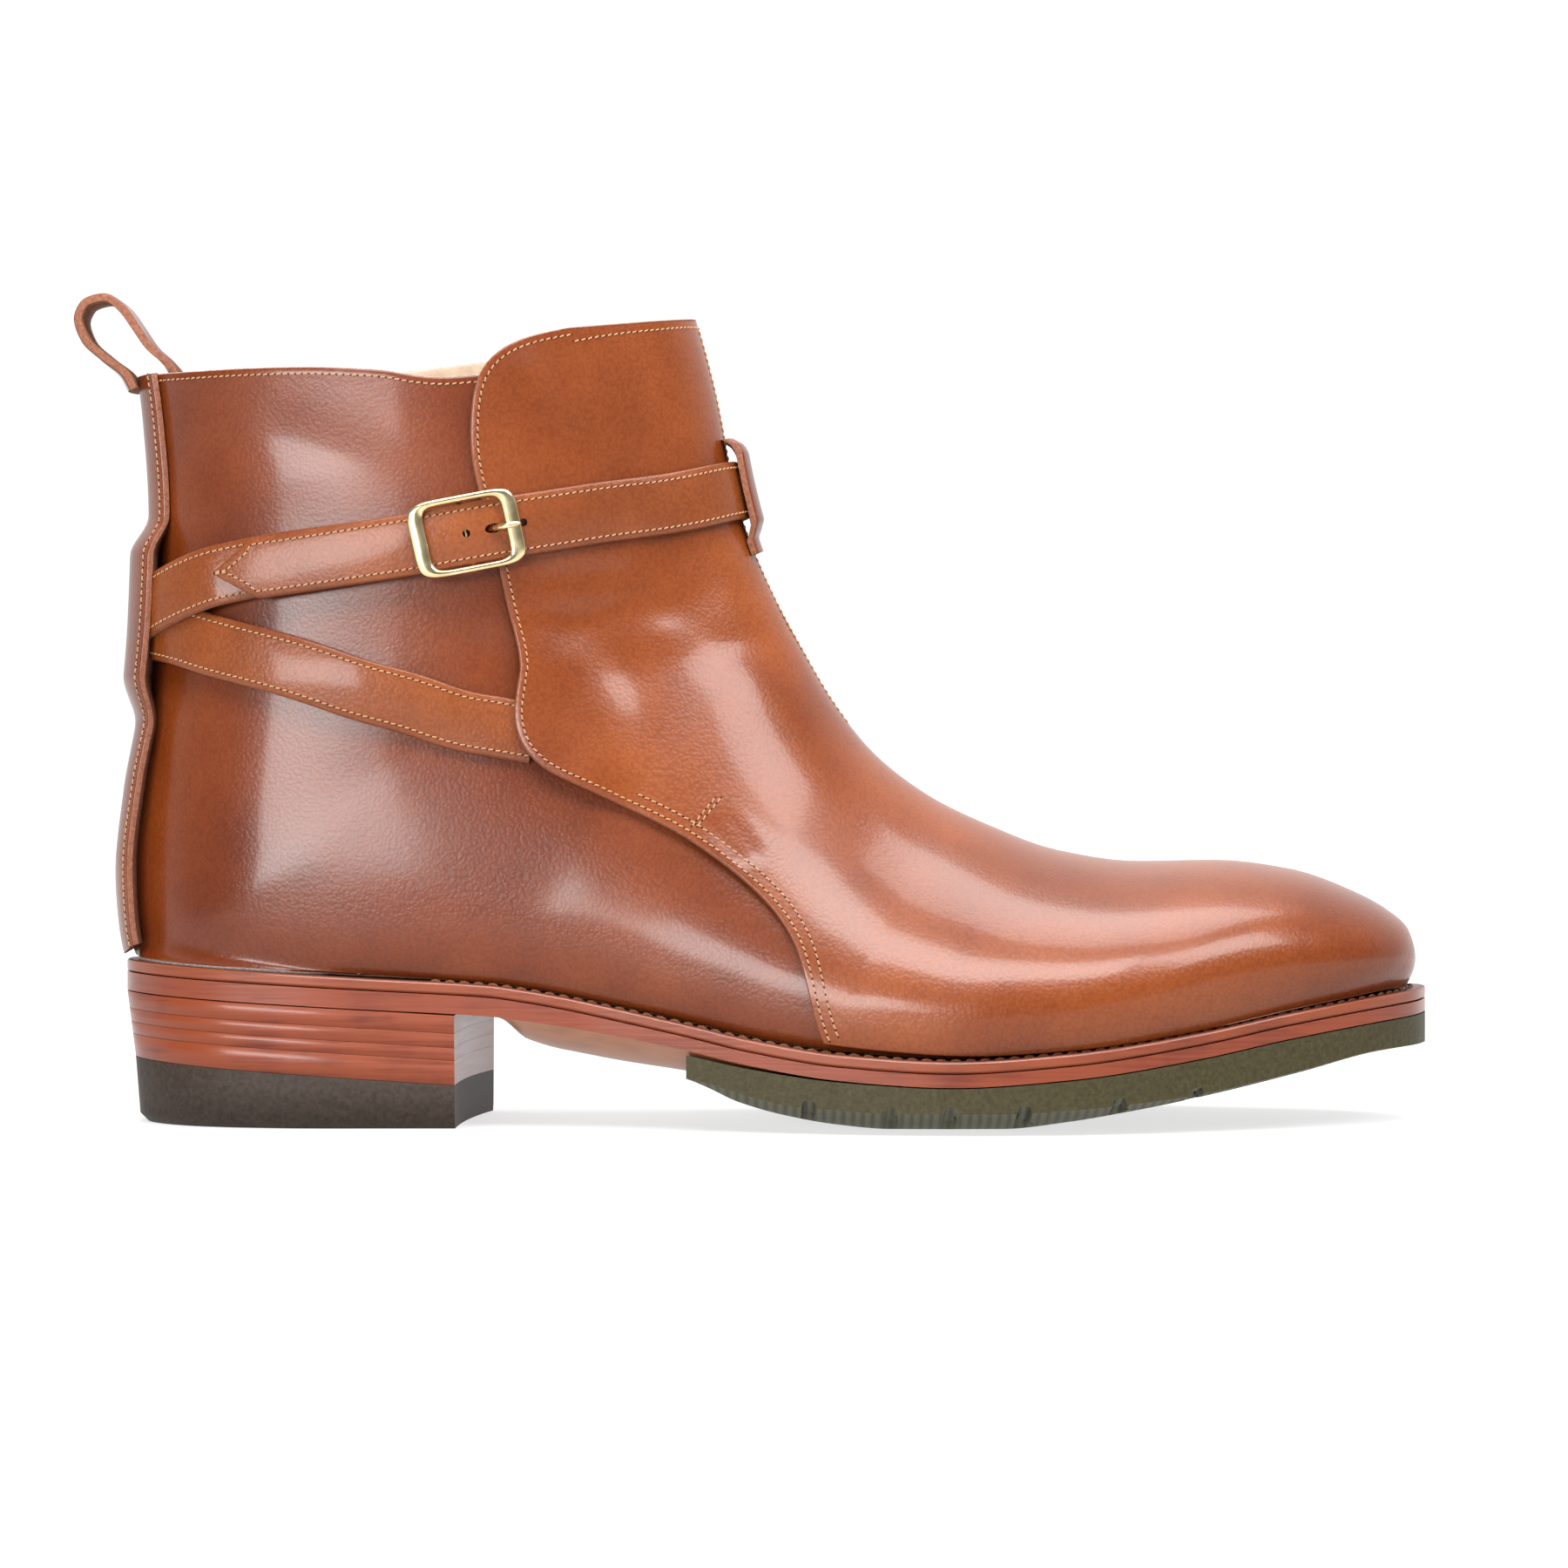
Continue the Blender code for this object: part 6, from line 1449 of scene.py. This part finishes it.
def ring_piece(name, rings, edge, materials, nodes, kinds):
    """A closed band of rings that follow one another round its section."""
    count = len(rings[0])
    faces = closed_grid(len(rings), count, wrap_rows=True)[:, ::-1]
    made = piece(name, np.concatenate(rings), faces, materials, nodes, np.repeat(kinds, count))
    round_edges(made, edge, 50.0)


def level(plan, height):
    """A plan loop at a height that is a number or one for each point."""
    return np.concatenate([plan, np.broadcast_to(height, len(plan))[:, None]], axis=-1)


welt_out, welt_in = plan_loop(1.0, 0.0), plan_loop(0.0, -WELT_MARGIN)
welt_section = ((welt_in, 0.0), (welt_out, 0.0), (welt_out, WELT_WALL), (welt_in, WELT_WALL))
welt_rings = [level(plan, welt_top(plan[:, 0]) - down) for plan, down in welt_section]
ring_piece("shown_welt", welt_rings, WELT_ROUND, (WELT_TOP, WELT_EDGE), ["welt"],
           (0, 1, 1, 1))
sole_outer, sole_inner = edges(1.0, 0.0, 260)
plate("shown_outsole", sole_outer, sole_inner, lambda x, across: leather_top(x) + GAP / 2.0, leather_bottom,
      OUTSOLE_ROUND, (SOLE_EDGE, WAIST, SOLE_EDGE), ["outsole"])
rubber_outer, rubber_inner = edges(1.0, 0.0, 330, start=place_along(RUBBER_START))
plate("shown_forepart_rubber", rubber_outer, rubber_inner, rubber_top, rubber_bottom, RUBBER_ROUND,
      (RUBBER_EDGE, TREAD, RUBBER_EDGE), ["forepart_rubber"])


def insole_inset(x):
    """How far the insole stays inside the feather line, more at the heel."""
    back = faded(-x - INSOLE_BACK_START, INSOLE_BACK_LENGTH)
    return -(INSOLE_INSET + (LINED_WALL + GAP) * back)


insole_outer, insole_inner = edges(0.0, insole_inset, 120)
plate("shown_insole", insole_outer, insole_inner, lambda x, across: welt_top(x) + GAP + INSOLE_WALL,
      lambda x, across: welt_top(x) + GAP, INSOLE_ROUND, (INSOLE, INSOLE, INSOLE),
      ["insole"])

welt_seam = plan_loop(WELT_SEAM_SHARE, 0.0)
welt_seam = welt_seam[welt_seam[:, 0] > WELT_SEAM_START]
stitch_rows("welt_seam", [(level(welt_seam, welt_top(welt_seam[:, 0])),
                           np.tile((0.0, 0.0, 1.0), (len(welt_seam), 1)))],
            pitch=0.0033, length=0.0027, radius=0.00030, hole=0.00022, thread=WELT_THREAD)


# Heel: four lifts of stacked leather, tapering down to a bevelled rubber top piece. The
# breast is hollowed and set askew.
HEEL_TAPER = 0.0030
LIFT_TAPER = 0.65
BREAST_X = 0.0362
BREAST_SKEW = 0.0056
BREAST_HOLLOW = 0.0014
TOP_PIECE_HEIGHT = 0.0125
TOP_PIECE_SLOPE = 0.068
TOP_PIECE_BEVEL = 0.0018
LIFT_LINES = (0.0, 0.26, 0.465, 0.65, 1.0)
SEAT_SHARES = (0.010, 0.198)
LIFT_EDGE = 0.00009
JOINT = 0.00004
HEEL_EDGE = streaked("heel_edge", (0.092, 0.012, 0.0036), (0.185, 0.034, 0.0090), (40.0, 40.0, 1300.0), 0.34,
                     0.25)
HEEL_RUBBER = fibrous("heel_rubber", (0.018, 0.011, 0.008), (0.041, 0.028, 0.020), 0.55, 800.0, 0.3)


def heel_plan(inset):
    """The heel's outline in plan, counter-clockwise, closed by its hollow breast."""
    outer = edges(1.0, -inset, 110, end=BREAST_X)[0]
    inner = edges(1.0, -inset, 110, end=BREAST_X + BREAST_SKEW)[1]
    share = np.linspace(0.0, 1.0, 30)[1:-1, None]
    breast = outer[-1] * (1.0 - share) + inner[-1] * share
    breast[:, 0] -= BREAST_HOLLOW * 4.0 * (share * (1.0 - share))[:, 0]
    return np.concatenate([inner[::-1], outer[1:], breast])


def stack(name, loops, material, nodes):
    """A solid through closed loops from the lowest to the highest, with flat ends."""
    count = len(loops[0])
    faces = closed_grid(len(loops), count).tolist()
    faces += [list(range(count))[::-1], list(range((len(loops) - 1) * count, len(loops) * count))]
    return piece(name, np.concatenate(loops), faces, (material,), nodes, smooth=60.0)


def seat_plane(x):
    """The plane on which the stacked heel meets the sole."""
    back, front = [place_along(share) for share in SEAT_SHARES]
    slope = float(leather_edge(front) - leather_edge(back)) / (front - back)
    return leather_edge(back) + slope * (x - back) - GAP


def top_piece_height(plan):
    """Height of the top piece's sloping upper face at the points of a plan."""
    return TOP_PIECE_HEIGHT - TOP_PIECE_SLOPE * plan[:, 0]


def stack_level(share, inset, raised):
    """A loop at a share of the way down from the seat to the top piece."""
    plan = heel_plan(HEEL_TAPER * LIFT_TAPER * share + inset)
    height = seat_plane(plan[:, 0]) * (1.0 - share) + top_piece_height(plan) * share
    return level(plan, height + raised)


for index, (above, below) in enumerate(zip(LIFT_LINES, LIFT_LINES[1:])):
    loops = [stack_level(below, LIFT_EDGE, JOINT), stack_level(below, 0.0, JOINT + LIFT_EDGE),
             stack_level(above, 0.0, -LIFT_EDGE), stack_level(above, LIFT_EDGE, 0.0)]
    lift = "heel_lift_%d" % (index + 1)
    stack("shown_" + lift, loops, HEEL_EDGE, [lift])
top_plan = heel_plan(HEEL_TAPER * LIFT_TAPER)
top_height = top_piece_height(top_plan)
top_loops = [level(heel_plan(HEEL_TAPER + TOP_PIECE_BEVEL), 0.0),
             level(heel_plan(HEEL_TAPER), TOP_PIECE_BEVEL), level(top_plan, top_height - LIFT_EDGE),
             level(heel_plan(HEEL_TAPER * LIFT_TAPER + LIFT_EDGE), top_height)]
stack("shown_heel_top_piece", top_loops, HEEL_RUBBER, ["heel_top_piece"])
